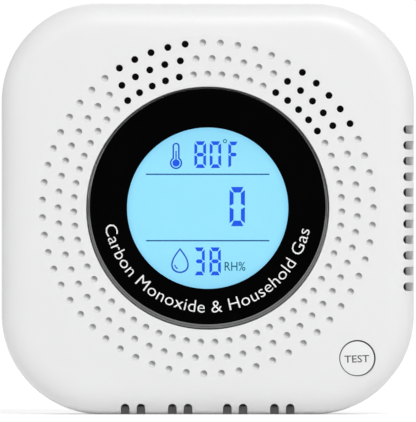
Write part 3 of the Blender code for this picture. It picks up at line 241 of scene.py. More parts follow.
def copy_to(piece, shift):
    """A copy with its own mesh, moved by shift."""
    made = piece.copy()
    made.data = piece.data.copy()
    bpy.context.scene.collection.objects.link(made)
    alone(made)
    editing(True)
    bpy.ops.mesh.select_all(action="SELECT")
    bpy.ops.transform.translate(value=shift)
    editing(False)
    return made


def finish_piece(piece, look, body="housing", nodes=(), smooth=35):
    """Smooth the shading, give the finish, hang the piece on the body it rides on, and hide the parts that it stands
    for.
    """
    alone(piece)
    if smooth:
        bpy.ops.object.shade_smooth_by_angle(angle=math.radians(smooth))
    piece.data.materials.clear()
    piece.data.materials.append(look)
    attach(piece, body)
    if nodes:
        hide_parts(*nodes)
    print(piece.name, len(piece.data.polygons), "faces")
    return piece


# %% Boxes and turned shapes
def box(name, low, high):
    """A cube primitive scaled between two corners."""
    bpy.ops.object.select_all(action="DESELECT")
    low, high = Vector(low), Vector(high)
    bpy.ops.mesh.primitive_cube_add(size=1, location=(low + high) / 2)
    piece = bpy.context.object
    piece.name = name
    piece.scale = high - low
    bpy.ops.object.transform_apply(location=True, rotation=True, scale=True)
    return piece


def turned(name, profile, centre, sides=64, ring=False, along_x=False):
    """Turn (radius, place) points about an axis along Y, or along X, through centre."""
    bpy.ops.object.select_all(action="DESELECT")
    radius, place = profile[0]
    across, up = centre
    start = (place, across, up) if along_x else (across, place, up)
    tilt = (0, math.radians(90), 0) if along_x else (math.radians(90), 0, 0)
    bpy.ops.mesh.primitive_circle_add(vertices=sides, radius=radius, fill_type="NOTHING",
                                      location=start, rotation=tilt)
    piece = bpy.context.object
    piece.name = name
    bpy.ops.object.transform_apply(location=True, rotation=True, scale=True)
    editing(True)
    bpy.ops.mesh.select_mode(type="VERT")
    bpy.ops.mesh.select_all(action="SELECT")
    middle = Vector(start)
    for radius_now, place_now in profile[1:]:
        bpy.ops.mesh.extrude_region()
        grow = radius_now / radius
        step = place_now - place
        size = (1, grow, grow) if along_x else (grow, 1, grow)
        move = (step, 0, 0) if along_x else (0, step, 0)
        if abs(grow - 1) > 1e-6:
            bpy.ops.transform.resize(value=size, center_override=middle)
        if abs(step) > 1e-9:
            bpy.ops.transform.translate(value=move)
            middle += Vector(move)
        radius, place = radius_now, place_now
    if ring:
        select(piece, lambda edge: edge.is_boundary, "EDGE")
        bpy.ops.mesh.bridge_edge_loops()
    else:
        bpy.ops.mesh.select_all(action="SELECT")
        bpy.ops.mesh.fill_holes(sides=0)
    face_out()
    editing(False)
    return piece


def rod(name, radius, low_y, high_y, centre, sides=48):
    return turned(name, [(radius, low_y), (radius, high_y)], centre, sides)


# %% [markdown]
# ## Finishes
#
# An effect that several finishes share is a node group. `moulded` gives injection-moulded plastic its slow
# changes of tone, a fine spark-eroded grain and a little settled dust on what faces up. `worn_metal` gives
# sheet metal its rolling streaks. Each group puts out only a colour, a roughness and a height.


# %% Node groups
def new_group(name, inputs, outputs):
    tree = bpy.data.node_groups.new(name, "ShaderNodeTree")
    for label, kind, value in inputs:
        socket = tree.interface.new_socket(label, in_out="INPUT", socket_type=kind)
        socket.default_value = value
    for label, kind in outputs:
        tree.interface.new_socket(label, in_out="OUTPUT", socket_type=kind)
    return tree, tree.nodes.new("NodeGroupInput"), tree.nodes.new("NodeGroupOutput")


def noise(tree, vector, scale, detail=3.0):
    """A noise texture on a vector; scale is a number or a socket."""
    node = tree.nodes.new("ShaderNodeTexNoise")
    node.inputs["Detail"].default_value = detail
    tree.links.new(vector, node.inputs["Vector"])
    if isinstance(scale, (int, float)):
        node.inputs["Scale"].default_value = scale
    else:
        tree.links.new(scale, node.inputs["Scale"])
    return node.outputs["Fac"]


def object_place(tree):
    return tree.nodes.new("ShaderNodeTexCoord").outputs["Object"]


def split(tree, vector):
    """The X, Y and Z of a vector."""
    node = tree.nodes.new("ShaderNodeSeparateXYZ")
    tree.links.new(vector, node.inputs[0])
    return node.outputs


def map_range(tree, value, **ends):
    """A Map Range node; its ends are numbers or sockets."""
    node = tree.nodes.new("ShaderNodeMapRange")
    tree.links.new(value, node.inputs["Value"])
    for label, end in ends.items():
        socket = node.inputs[label.replace("_", " ")]
        if isinstance(end, (int, float)):
            socket.default_value = end
        else:
            tree.links.new(end, socket)
    return node.outputs[0]


def placed(tree, group, **values):
    """A group placed in a tree, with numbers, colours or sockets for its inputs."""
    node = tree.nodes.new("ShaderNodeGroup")
    node.node_tree = group
    for label, value in values.items():
        socket = node.inputs[label.replace("_", " ")]
        if isinstance(value, bpy.types.NodeSocket):
            tree.links.new(value, socket)
        else:
            socket.default_value = (*value, 1.0) if isinstance(value, tuple) else value
    return node.outputs


def maths(tree, operation, first, second):
    node = tree.nodes.new("ShaderNodeMath")
    node.operation = operation
    for socket, value in zip(node.inputs, (first, second)):
        if isinstance(value, (int, float)):
            socket.default_value = value
        else:
            tree.links.new(value, socket)
    return node.outputs[0]


def blend_colour(tree, share, first, second):
    node = tree.nodes.new("ShaderNodeMix")
    node.data_type = "RGBA"
    for label, value in (("Factor", share), ("A", first), ("B", second)):
        socket = next(s for s in node.inputs if s.name == label and s.enabled)
        if isinstance(value, (int, float)):
            socket.default_value = value
        elif isinstance(value, tuple):
            socket.default_value = (*value, 1.0)
        else:
            tree.links.new(value, socket)
    return next(s for s in node.outputs if s.enabled)


FLOAT, COLOUR = "NodeSocketFloat", "NodeSocketColor"
moulded, given, result = new_group(
    "moulded",
    [("Colour", COLOUR, (0.8, 0.8, 0.8, 1)), ("Shade", COLOUR, (0.7, 0.7, 0.7, 1)),
     ("Patch Scale", FLOAT, 40.0), ("Grain Scale", FLOAT, 3500.0),
     ("Roughness", FLOAT, 0.4), ("Dust", FLOAT, 0.0)],
    [("Colour", COLOUR), ("Roughness", FLOAT), ("Height", FLOAT)])
where = object_place(moulded)
patches = noise(moulded, where, given.outputs["Patch Scale"], 2.0)
grain = noise(moulded, where, given.outputs["Grain Scale"], 2.0)
facing = moulded.nodes.new("ShaderNodeNewGeometry")
lying = moulded.nodes.new("ShaderNodeSeparateXYZ")
moulded.links.new(facing.outputs["Normal"], lying.inputs[0])
specks = maths(moulded, "GREATER_THAN", noise(moulded, where, 900.0, 4.0), 0.56)
dust = maths(moulded, "MULTIPLY", maths(moulded, "MAXIMUM", lying.outputs["Z"], 0.0), given.outputs["Dust"])
dust = maths(moulded, "MULTIPLY", dust, specks)
toned = blend_colour(moulded, patches, given.outputs["Colour"], given.outputs["Shade"])
dusty = blend_colour(moulded, dust, toned, (0.55, 0.52, 0.47))
moulded.links.new(dusty, result.inputs["Colour"])
rough = maths(moulded, "MULTIPLY_ADD", patches, 0.08)
rough.node.inputs[2].default_value = 0.0
spread = maths(moulded, "ADD", rough, given.outputs["Roughness"])
moulded.links.new(maths(moulded, "ADD", spread, maths(moulded, "MULTIPLY", dust, 0.3)), result.inputs["Roughness"])
moulded.links.new(grain, result.inputs["Height"])

worn_metal, given, result = new_group(
    "worn_metal",
    [("Colour", COLOUR, (0.6, 0.6, 0.6, 1)), ("Shade", COLOUR, (0.4, 0.4, 0.4, 1)),
     ("Streak Scale", FLOAT, 900.0), ("Roughness", FLOAT, 0.25)],
    [("Colour", COLOUR), ("Roughness", FLOAT), ("Height", FLOAT)])
where = object_place(worn_metal)
stretch = worn_metal.nodes.new("ShaderNodeMapping")
stretch.inputs["Scale"].default_value = (1.0, 0.06, 1.0)
worn_metal.links.new(where, stretch.inputs["Vector"])
streaks = noise(worn_metal, stretch.outputs[0], given.outputs["Streak Scale"], 4.0)
stains = noise(worn_metal, where, 180.0, 3.0)
worn_metal.links.new(blend_colour(worn_metal, stains, given.outputs["Colour"], given.outputs["Shade"]),
                     result.inputs["Colour"])
worn_metal.links.new(maths(worn_metal, "ADD", given.outputs["Roughness"], maths(worn_metal, "MULTIPLY", streaks, 0.2)),
                     result.inputs["Roughness"])
worn_metal.links.new(streaks, result.inputs["Height"])


# %% Finishes
def new_finish(name, group, bump, settings=None, metal=False, **values):
    """A material whose colour, roughness and height come from a group placed in it."""
    look = bpy.data.materials.new(name)
    look.use_nodes = True
    tree = look.node_tree
    shader = tree.nodes["Principled BSDF"]
    source = placed(tree, group, **values)
    tree.links.new(source["Colour"], shader.inputs["Base Color"])
    tree.links.new(source["Roughness"], shader.inputs["Roughness"])
    height = tree.nodes.new("ShaderNodeBump")
    height.inputs["Strength"].default_value = bump
    height.inputs["Distance"].default_value = 0.0001
    tree.links.new(source["Height"], height.inputs["Height"])
    tree.links.new(height.outputs[0], shader.inputs["Normal"])
    shader.inputs["Metallic"].default_value = 1.0 if metal else 0.0
    for label, value in (settings or {}).items():
        shader.inputs[label].default_value = value
    return look


WHITE = new_finish("white_case", moulded, 0.10, {"Specular IOR Level": 0.5},
                   Colour=(0.88, 0.88, 0.88), Shade=(0.86, 0.86, 0.86), Roughness=0.34, Dust=0.04)
BUTTON_WHITE = new_finish("button_white", moulded, 0.08, {"Specular IOR Level": 0.4},
                          Colour=(0.90, 0.90, 0.90), Shade=(0.88, 0.88, 0.88), Roughness=0.38)
BLACK_GLOSS = new_finish("black_window", moulded, 0.0, {"Specular IOR Level": 0.10},
                         Colour=(0.0012, 0.0012, 0.0014), Shade=(0.0020, 0.0020, 0.0024), Roughness=0.03)
BLACK_EDGE = new_finish("black_window_edge", moulded, 0.0, {"Specular IOR Level": 1.0, "IOR": 2.0},
                        Colour=(0.0012, 0.0012, 0.0014), Shade=(0.0020, 0.0020, 0.0024), Roughness=0.06)
WHITE_INK = new_finish("white_ink", moulded, 0.03, {},
                       Colour=(0.90, 0.90, 0.90), Shade=(0.84, 0.84, 0.84), Roughness=0.5)
GREY_INK = new_finish("grey_ink", moulded, 0.03, {},
                      Colour=(0.075, 0.075, 0.078), Shade=(0.11, 0.11, 0.115), Roughness=0.55)


# Painted shade: this group darkens a finish inside round recesses, most on the walls under their upper right lips,
# standing in for the shade that falls there.
recess_shade, given, result = new_group(
    "recess_shade",
    [("Colour", COLOUR, (0.88, 0.88, 0.88, 1)), ("Inner", FLOAT, 0.0), ("Outer", FLOAT, 0.01),
     ("Centre X", FLOAT, 0.0), ("Centre Z", FLOAT, 0.0), ("Front", FLOAT, 0.0), ("Deep", FLOAT, 0.001),
     ("Least", FLOAT, 0.0), ("Most", FLOAT, 1.0)],
    [("Colour", COLOUR)])
UNDER_LIP = (-0.5, 0.0, -0.86)      # which way the dark side of a recess faces
SHADE_GREY = (0.16, 0.16, 0.16)
place = split(recess_shade, object_place(recess_shade))
across = maths(recess_shade, "SUBTRACT", place["X"], given.outputs["Centre X"])
up = maths(recess_shade, "SUBTRACT", place["Z"], given.outputs["Centre Z"])
squares = maths(recess_shade, "ADD", maths(recess_shade, "MULTIPLY", across, across),
                maths(recess_shade, "MULTIPLY", up, up))
away = maths(recess_shade, "SQRT", squares, 0.0)
in_ring = maths(recess_shade, "MULTIPLY", maths(recess_shade, "GREATER_THAN", away, given.outputs["Inner"]),
                maths(recess_shade, "LESS_THAN", away, given.outputs["Outer"]))
depth = map_range(recess_shade, place["Y"], From_Min=given.outputs["Front"], From_Max=given.outputs["Deep"])
facing = recess_shade.nodes.new("ShaderNodeVectorMath")
facing.operation = "DOT_PRODUCT"
recess_shade.links.new(recess_shade.nodes.new("ShaderNodeNewGeometry").outputs["Normal"], facing.inputs[0])
facing.inputs[1].default_value = UNDER_LIP
under = map_range(recess_shade, facing.outputs["Value"], From_Min=-0.5, From_Max=0.55,
                  To_Min=given.outputs["Least"], To_Max=given.outputs["Most"])
shaded = maths(recess_shade, "MULTIPLY", in_ring, maths(recess_shade, "MULTIPLY", depth, under))
recess_shade.links.new(blend_colour(recess_shade, shaded, given.outputs["Colour"], SHADE_GREY),
                       result.inputs["Colour"])


def shade_recesses(look, name, inner, outer, front, deep, centre, least, most):
    """A copy of a white finish with painted shade inside round recesses, darkest under their upper right lips."""
    made = look.copy()
    made.name = name
    tree = made.node_tree
    base = tree.nodes["Principled BSDF"].inputs["Base Color"]
    shade = placed(tree, recess_shade, Colour=base.links[0].from_socket, Inner=inner, Outer=outer,
                   Centre_X=centre[0], Centre_Z=centre[1], Front=front, Deep=deep, Least=least, Most=most)
    tree.links.new(shade["Colour"], base)
    return made


print("finishes so far:", len(bpy.data.materials))

# %% [markdown]
# ## The casing's surface
#
# The casing is a rounded square whose front swells like a cushion: a flat round disc in the middle, a
# nearly flat shoulder, and an edge that rolls over to the straight side. A box with a bevel can't give
# that roll, so the shape is drawn ring by ring. Each ring is a rounded square at its own depth, and an
# extruded circle is moved onto it.

# %% Rings of the casing
OUTLINE = 256
EDGE_WIDTH = 8 * MM
EDGE_POWER = 2.6
SHOULDER_SLOPE = 0.9 * MM
SHOULDER_DEPTH = 9 * MM
BACK_EDGE = 4 * MM


def side_radius(angle, inset):
    """Distance from the middle to the rounded-square outline, moved in by inset."""
    across, up = abs(math.cos(angle)), abs(math.sin(angle))
    half, corner = HALF - inset, CORNER - inset
    centre = half - corner
    if half * up <= centre * across:
        return half / across
    if half * across <= centre * up:
        return half / up
    along = (across + up) * centre
    return along + math.sqrt(along**2 - 2 * centre**2 + corner**2)


def ring_angles():
    return [2 * math.pi * index / OUTLINE for index in range(OUTLINE)]


def ring_at(radius_of, y_of):
    points = []
    for angle in ring_angles():
        radius = radius_of(angle)
        points.append(Vector((radius * math.cos(angle), y_of(angle, radius), MID_Z + radius * math.sin(angle))))
    return points


def outline_ring(inset, y):
    return ring_at(lambda angle: side_radius(angle, inset), lambda angle, radius: y)


def front_rings(inset, rim_y, steps=22):
    """Rings of the front, from the flat disc to the rim, moved inwards by inset."""
    def slope(angle, radius):
        return SHOULDER_SLOPE * (radius - FLAT_RADIUS) / (side_radius(angle, inset) - FLAT_RADIUS)

    def shoulder(from_side, round_off):
        drop = (SHOULDER_DEPTH - SHOULDER_SLOPE) * round_off
        return ring_at(lambda angle: side_radius(angle, inset + from_side),
                       lambda angle, radius: FRONT_Y + inset + slope(angle, radius) + drop)

    rings = []
    for crease in (-0.15 * MM, 0.0, 0.15 * MM):
        rings.append(ring_at(lambda angle: FLAT_RADIUS + crease,
                             lambda angle, radius: FRONT_Y + inset + max(0, slope(angle, radius))))
    for step in range(steps + 1):
        turn = math.radians(90) * step / steps
        from_side = EDGE_WIDTH * (1 - math.sin(turn) ** (2 / EDGE_POWER))
        rings.append(shoulder(from_side, 1 - math.cos(turn) ** (2 / EDGE_POWER)))
    rings.append(outline_ring(inset, rim_y))
    return rings


def rear_rings(inset, rim_y, steps=10):
    rings = [outline_ring(inset, rim_y)]
    for step in range(steps + 1):
        turn = math.radians(90) * step / steps
        rings.append(outline_ring(inset + BACK_EDGE * (1 - math.cos(turn)),
                                  BACK_Y - inset - BACK_EDGE * (1 - math.sin(turn))))
    rings.append(outline_ring(inset + BACK_EDGE + 0.2 * MM, BACK_Y - inset))
    return rings


def loft(name, rings, caps):
    """Extrude a circle once for each ring and put its points on the ring. Caps: "first", "last", "both"."""
    bpy.ops.object.select_all(action="DESELECT")
    bpy.ops.mesh.primitive_circle_add(vertices=OUTLINE, radius=HALF, fill_type="NOTHING",
                                      location=(0, 0, MID_Z), rotation=(math.radians(90), 0, 0))
    piece = bpy.context.object
    piece.name = name
    bpy.ops.object.transform_apply(location=True, rotation=True, scale=True)
    editing(True)
    bpy.ops.mesh.select_mode(type="VERT")
    bpy.ops.mesh.select_all(action="SELECT")
    for number, ring in enumerate(rings):
        if number:
            bpy.ops.mesh.extrude_region()
        shape = bmesh.from_edit_mesh(piece.data)
        for point in shape.verts:
            if point.select:
                angle = math.atan2(point.co.z - MID_Z, point.co.x)
                point.co = ring[round(angle / math.tau * OUTLINE) % OUTLINE]
        bmesh.update_edit_mesh(piece.data)
    if caps in ("last", "both"):
        bpy.ops.mesh.edge_face_add()
    if caps in ("first", "both"):
        start = {tuple(round(c, 7) for c in point) for point in rings[0]}
        select(piece, lambda point: tuple(round(c, 7) for c in point.co) in start, "VERT")
        bpy.ops.mesh.edge_face_add()
    face_out()
    editing(False)
    return piece


def turn_if_inside_out(piece, direction):
    """An open skin has no inside, so its largest face says which way it looks."""
    largest = max(piece.data.polygons, key=lambda face: face.area)
    if largest.normal.dot(Vector(direction)) < 0:
        alone(piece)
        editing(True)
        bpy.ops.mesh.select_all(action="SELECT")
        bpy.ops.mesh.flip_normals()
        editing(False)
    return piece


# %% [markdown]
# ## Front cover
#
# The real cover is one injection moulding with a wall 2 mm thick. The skin is lofted, Solidify gives the
# wall, and the screw bosses, the window's ledge and the button's guide are added inside it. Everything
# that is open is then cut out: the window seat, the button hole, the slots, and the three rings of holes.

# %% Shell of the front cover
front_cover = turn_if_inside_out(loft("front_cover_shell", front_rings(0, RIM_Y), "first"), (0, -1, 0))
apply_step(front_cover, "SOLIDIFY", thickness=WALL, offset=-1, use_even_offset=True)
print("shell", len(front_cover.data.polygons), "faces")

# %% Places that the frame gives
lens_low, lens_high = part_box("lens")
LENS_RADIUS = (lens_high.x - lens_low.x) / 2
LENS_Y, LENS_REAR = lens_low.y, lens_high.y
button_low, button_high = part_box("test_button")
BUTTON_X = (button_low.x + button_high.x) / 2
BUTTON_Z = (button_low.z + button_high.z) / 2
BUTTON_Y, STEM_END = button_low.y, button_high.y
BUTTON_RADIUS = 4.33 * MM
FLANGE_RADIUS = (button_high.x - button_low.x) / 2
FLANGE_Y, FLANGE_REAR = STEM_END - 1.6 * MM, STEM_END - 0.8 * MM
GUIDE_END = FLANGE_REAR + 0.9 * MM
tape_low, tape_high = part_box("lens_tape")
LEDGE_Y = tape_high.y + GAP
LEDGE_REAR = LEDGE_Y + 1.5 * MM
board_low, board_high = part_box("main_board")
CASE_SCREWS = []
for number in range(1, 5):
    low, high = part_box(f"case_screw_{number}")
    CASE_SCREWS.append(((low.x + high.x) / 2, (low.z + high.z) / 2))
BOARD_SCREWS = []
for number in range(1, 5):
    low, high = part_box(f"board_screw_{number}")
    BOARD_SCREWS.append(((low.x + high.x) / 2, (low.z + high.z) / 2))
print("window radius", LENS_RADIUS, "button at", BUTTON_X, BUTTON_Z)

# %% Bosses, ledge and guide inside the cover
PAST = 1 * MM
deep = FRONT_Y - PAST
inner = [rod("ledge", LENS_RADIUS + WALL, deep, LEDGE_REAR, (0, MID_Z), 96),
         rod("guide", FLANGE_RADIUS + GAP + 1.5 * MM, deep, GUIDE_END, (BUTTON_X, BUTTON_Z))]
inner += [rod("boss", 3.5 * MM, deep, SEAM_Y - GAP / 2, place, 32) for place in CASE_SCREWS]
inner += [rod("post", 2.8 * MM, deep, board_low.y - GAP, place, 32) for place in BOARD_SCREWS]
inner = join("inner", inner)
cut(inner, loft("core", front_rings(WALL / 2, BACK_Y, 12), "both"), "INTERSECT")
cut(front_cover, inner, "UNION")

# %% Window seat, button hole and threads
LEDGE_RADIUS = LENS_RADIUS - 3.9 * MM
seat = turned("seat", [(LENS_RADIUS + GAP + 0.12 * MM, FRONT_Y - 0.001), (LENS_RADIUS + GAP + 0.12 * MM, FRONT_Y),
                       (LENS_RADIUS + GAP, FRONT_Y + 0.12 * MM), (LENS_RADIUS + GAP, LEDGE_Y),
                       (LEDGE_RADIUS, LEDGE_Y), (LEDGE_RADIUS, LEDGE_REAR + PAST)], (0, MID_Z), 160)
cut(front_cover, seat)
HOLE = BUTTON_RADIUS + GAP
well = turned("well", [(HOLE, FRONT_Y - PAST), (HOLE, FLANGE_Y - GAP),
                       (FLANGE_RADIUS + GAP, FLANGE_Y - GAP), (FLANGE_RADIUS + GAP, GUIDE_END + PAST)],
              (BUTTON_X + 0.08 * MM, BUTTON_Z + 0.06 * MM), 64)
cut(front_cover, well)
threads = [rod("thread", 1.5 * MM, SEAM_Y - 10.5 * MM, SEAM_Y + PAST, place, 20) for place in CASE_SCREWS]
threads += [rod("thread", 1.3 * MM, board_low.y - 5.5 * MM, board_low.y, place, 20) for place in BOARD_SCREWS]
cut(front_cover, join("threads", threads))

# %% [markdown]
# The slots are milled in from the side. One slot cutter is a short cylinder whose outer half is pulled
# past the side, so the slot has a round inner end. It is modelled once, then copied along the edge.

# %% Slots down the right side and along the base
SLOT_PITCH, SLOT_WIDTH, SLOT_REACH, SLOT_DEEP = 4 * MM, 2.2 * MM, 2.75 * MM, 11 * MM


def slot_cutter(x, z, outward):
    """A rod along Y whose side that looks outward is pulled out past the casing."""
    low, high = FRONT_Y - PAST, FRONT_Y + SLOT_DEEP
    piece = rod("slot", SLOT_WIDTH / 2, low, high, (x, z), 32)
    alone(piece)
    editing(True)
    outward = Vector(outward)
    select(piece, lambda face: face.normal.dot(outward) > 0.05)
    bpy.ops.mesh.extrude_region()
    bpy.ops.transform.translate(value=outward * 3 * MM)
    face_out()
    editing(False)
    return piece


end = SLOT_REACH - SLOT_WIDTH / 2
side_slot = slot_cutter(HALF - end, MID_Z, (1, 0, 0))
slots = [side_slot] + [copy_to(side_slot, (0, 0, step * SLOT_PITCH)) for step in range(-5, 6) if step]
base_slot = slot_cutter(0, end, (0, 0, -1))
slots += [copy_to(base_slot, (side * place * MM, 0, 0)) for place in (5, 9, 17, 21) for side in (-1, 1)]
bpy.data.objects.remove(base_slot, do_unlink=True)
cut(front_cover, join("slots", slots))
print("slots cut:", len(slots), "faces now", len(front_cover.data.polygons))

# %% [markdown]
# Three rings of 59 small holes run round the window. Most are blind dimples; only the groups in front of
# the sensor and the sounder go right through. The dimple cutter is a small bowl with a softened lip, the
# cutter of an open hole is a short rod, and every hole is a copy of one of them moved to its place.

# %% Dimples and open holes
RINGS = ((42.1, 0.2), (38.1, 2.9), (34.1, 4.6))
RING_HOLES = 59
OPEN = set(range(5, 10)) | set(range(16, 21))


def hole_cutter(name, profile, sides):
    """A turned cutter from (radius, depth below the front) in millimetres."""
    return turned(name, [(radius * MM, FRONT_Y + depth * MM) for radius, depth in profile], (0, MID_Z), sides)


BOWL = [(0.93, -0.3), (0.93, 0.0), (0.88, 0.08), (0.77, 0.42), (0.56, 0.74), (0.28, 0.92), (0.05, 0.96)]
THROUGH = [(0.95, -0.3), (0.95, 0.0), (0.89, 0.06), (0.89, 3.0)]
dimple = hole_cutter("dimple", BOWL, 14)
opening = hole_cutter("opening", THROUGH, 20)
holes = []
for radius, phase in RINGS:
    for index in range(RING_HOLES):
        angle = math.radians(phase + index * 360 / RING_HOLES)
        shift = (radius * MM * math.cos(angle), 0, radius * MM * math.sin(angle))
        made = (opening if index in OPEN else dimple).copy()
        made.data = made.data.copy()
        made.data.transform(Matrix.Translation(shift))
        bpy.context.scene.collection.objects.link(made)
        holes.append(made)
for pattern in (dimple, opening):
    bpy.data.objects.remove(pattern, do_unlink=True)
cut(front_cover, join("holes", holes))
# Painted shade: the dimples are darkened under their upper right lips, and the walls deep in the button's hole are
# darkened too.
rings_painted_shade = shade_recesses(WHITE, "painted_shade_front_rings", 32.5 * MM, 43.6 * MM, FRONT_Y + 0.02 * MM,
                             FRONT_Y + 0.25 * MM, (0, MID_Z), 0.0, 0.72)
COVER_PAINTED_SHADE = shade_recesses(rings_painted_shade, "painted_shade_front_cover", -1.0, 4.9 * MM, FRONT_Y + 0.8 * MM,
                             FRONT_Y + 1.3 * MM, (BUTTON_X, BUTTON_Z), 0.6, 0.98)
finish_piece(front_cover, COVER_PAINTED_SHADE, nodes=["front_cover"], smooth=28)
front_cover.name = "front_cover_moulding"

# %% [markdown]
# ## Window
#
# The window is a flat disc of acrylic. Its outer ring is printed black and polished, and its middle is
# left clear over the display. The two are made as a black ring and a clear disc that fills it. Its edge is
# chamfered in two steps with a fine groove between them, and catches the light that the flat ring misses.

# %% Black ring and its chamfered edge
CLEAR_RADIUS = 20.5 * MM
EDGE_IN = LENS_RADIUS - 0.6 * MM
EDGE_STEPS = ((0.0, 0.0), (0.24, 0.09), (0.28, 0.15), (0.33, 0.15), (0.56, 0.26), (0.60, 0.32))
EDGE_LIFT = 0.42 * MM


def lift_inside(piece, inner, outer):
    """Raise what lies nearer the middle, so that the chamfer is wide at the bottom and narrow at the top."""
    for point in piece.data.vertices:
        radius = math.hypot(point.co.x, point.co.z - MID_Z)
        if radius > CLEAR_RADIUS + MM:
            point.co.z += EDGE_LIFT * min(1, max(0, (outer - radius) / (outer - inner)))


ring_profile = [(CLEAR_RADIUS, LENS_Y), (EDGE_IN, LENS_Y), (EDGE_IN, LENS_REAR), (CLEAR_RADIUS, LENS_REAR)]
window_ring = turned("window_ring", ring_profile, (0, MID_Z), 160, ring=True)
lift_inside(window_ring, EDGE_IN, LENS_RADIUS)
finish_piece(window_ring, BLACK_GLOSS, nodes=["lens"], smooth=25)
edge_profile = [(EDGE_IN + out * MM, LENS_Y + back * MM) for out, back in EDGE_STEPS]
edge_profile += [(LENS_RADIUS, LENS_REAR), (EDGE_IN, LENS_REAR)]
window_edge = turned("window_edge", edge_profile, (0, MID_Z), 160, ring=True)
lift_inside(window_edge, EDGE_IN, LENS_RADIUS)
finish_piece(window_edge, BLACK_EDGE, smooth=8)

# %% Clear middle
CLEAR = bpy.data.materials.new("clear_acrylic")
CLEAR.use_nodes = True
tree = CLEAR.node_tree
shader = tree.nodes["Principled BSDF"]
shader.inputs["Base Color"].default_value = (1, 1, 1, 1)
shader.inputs["Transmission Weight"].default_value = 1.0
shader.inputs["IOR"].default_value = 1.49
where = tree.nodes.new("ShaderNodeTexCoord").outputs["Object"]
smears = maths(tree, "MULTIPLY", noise(tree, where, 90.0, 3.0), 0.03)
tree.links.new(smears, shader.inputs["Roughness"])
window_clear = turned("window_clear", [(CLEAR_RADIUS - 0.02 * MM, LENS_Y), (CLEAR_RADIUS - 0.02 * MM, LENS_REAR)],
                      (0, MID_Z), 128)
finish_piece(window_clear, CLEAR, smooth=25)

# %% [markdown]
# The lettering runs round the lower half of the ring, with the tops of the letters towards the middle. A
# line of text is made a mesh, and each of its points is then wrapped round the ring: how far along the
# line it is becomes an angle, and its height above the line becomes a shorter radius.


# %% Lettering helpers
def written(words, size, thick, name, bolder=0.0):
    """Flat lettering as a mesh, standing up and facing the front, with its middle at x = 0 and base at z = 0."""
    bpy.ops.object.select_all(action="DESELECT")
    bpy.ops.object.text_add(location=(0, 0, 0))
    made = bpy.context.object
    made.data.body = words
    made.data.size = size
    made.data.extrude = thick / 2
    made.data.offset = bolder
    made.data.align_x = "CENTER"
    made.data.resolution_u = 3
    bpy.ops.object.convert(target="MESH")
    made = bpy.context.object
    made.name = name
    alone(made)
    made.rotation_euler = (math.radians(90), 0, 0)
    bpy.ops.object.transform_apply(location=True, rotation=True, scale=True)
    return merge_points(made, 1e-6)


def reach(piece):
    """Lowest and highest x, y and z of a piece's points."""
    points = [point.co for point in piece.data.vertices]
    low = Vector([min(point[axis] for point in points) for axis in range(3)])
    high = Vector([max(point[axis] for point in points) for axis in range(3)])
    return low, high


def fit(piece, low_x, high_x, low_z, high_z, y):
    """Stretch and move a flat piece into a place in x and z, its back at y."""
    low, high = reach(piece)
    alone(piece)
    editing(True)
    bpy.ops.mesh.select_all(action="SELECT")
    size = ((high_x - low_x) / (high.x - low.x), 1, (high_z - low_z) / (high.z - low.z))
    bpy.ops.transform.resize(value=size, center_override=low)
    bpy.ops.transform.translate(value=(low_x - low.x, y - high.y, low_z - low.z))
    editing(False)
    return piece


# %% Lettering on the ring
INK = 0.03 * MM
LETTER_BASE, CAP_HEIGHT = 26.6 * MM, 3.25 * MM
ARC_FROM, ARC_TO = 189.5, 348.0
lettering = written("Carbon Monoxide & Household Gas", 4.2 * MM, INK, "window_lettering", -0.03 * MM)
low, high = reach(lettering)
span = math.radians(ARC_TO - ARC_FROM)
MIDDLE_RADIUS = LETTER_BASE - CAP_HEIGHT / 2
cap = CAP_HEIGHT / (0.73 * 4.2 * MM)
for point in lettering.data.vertices:
    angle = math.radians(ARC_FROM) + span * (point.co.x - low.x) / (high.x - low.x)
    radius = LETTER_BASE - point.co.z * cap
    point.co = (radius * math.cos(angle), LENS_Y - INK / 2 + point.co.y, MID_Z + radius * math.sin(angle))
finish_piece(lettering, WHITE_INK, smooth=0)

# %% [markdown]
# ## Display
#
# Behind the clear middle lies a liquid-crystal glass with a light guide behind it. The light guide makes
# the whole disc glow pale blue, and the segments stand on it in dark blue. The glow fades a little towards
# the top and bottom, and a painted shade darkens its rim just inside the window's black print. A gradient
# on Object coordinates gives both.

# %% Glowing glass
PALE, PALER, RIM_SHADE_BLUE = (0.318, 0.787, 1.0), (0.255, 0.665, 0.92), (0.20, 0.55, 0.86)
GLOW = bpy.data.materials.new("display_glass")
GLOW.use_nodes = True
tree = GLOW.node_tree
shader = tree.nodes["Principled BSDF"]
where = tree.nodes.new("ShaderNodeTexCoord").outputs["Object"]
centred = tree.nodes.new("ShaderNodeMapping")
centred.inputs["Location"].default_value = (0, 0, -MID_Z)
tree.links.new(where, centred.inputs["Vector"])
places = tree.nodes.new("ShaderNodeSeparateXYZ")
tree.links.new(centred.outputs[0], places.inputs[0])
flat = tree.nodes.new("ShaderNodeCombineXYZ")
tree.links.new(places.outputs["X"], flat.inputs["X"])
tree.links.new(places.outputs["Z"], flat.inputs["Z"])
away = tree.nodes.new("ShaderNodeVectorMath")
away.operation = "LENGTH"
tree.links.new(flat.outputs[0], away.inputs[0])


def ramp(tree, value, low, high):
    node = tree.nodes.new("ShaderNodeMapRange")
    node.interpolation_type = "SMOOTHSTEP"
    node.inputs["From Min"].default_value, node.inputs["From Max"].default_value = low, high
    tree.links.new(value, node.inputs["Value"])
    return node.outputs[0]
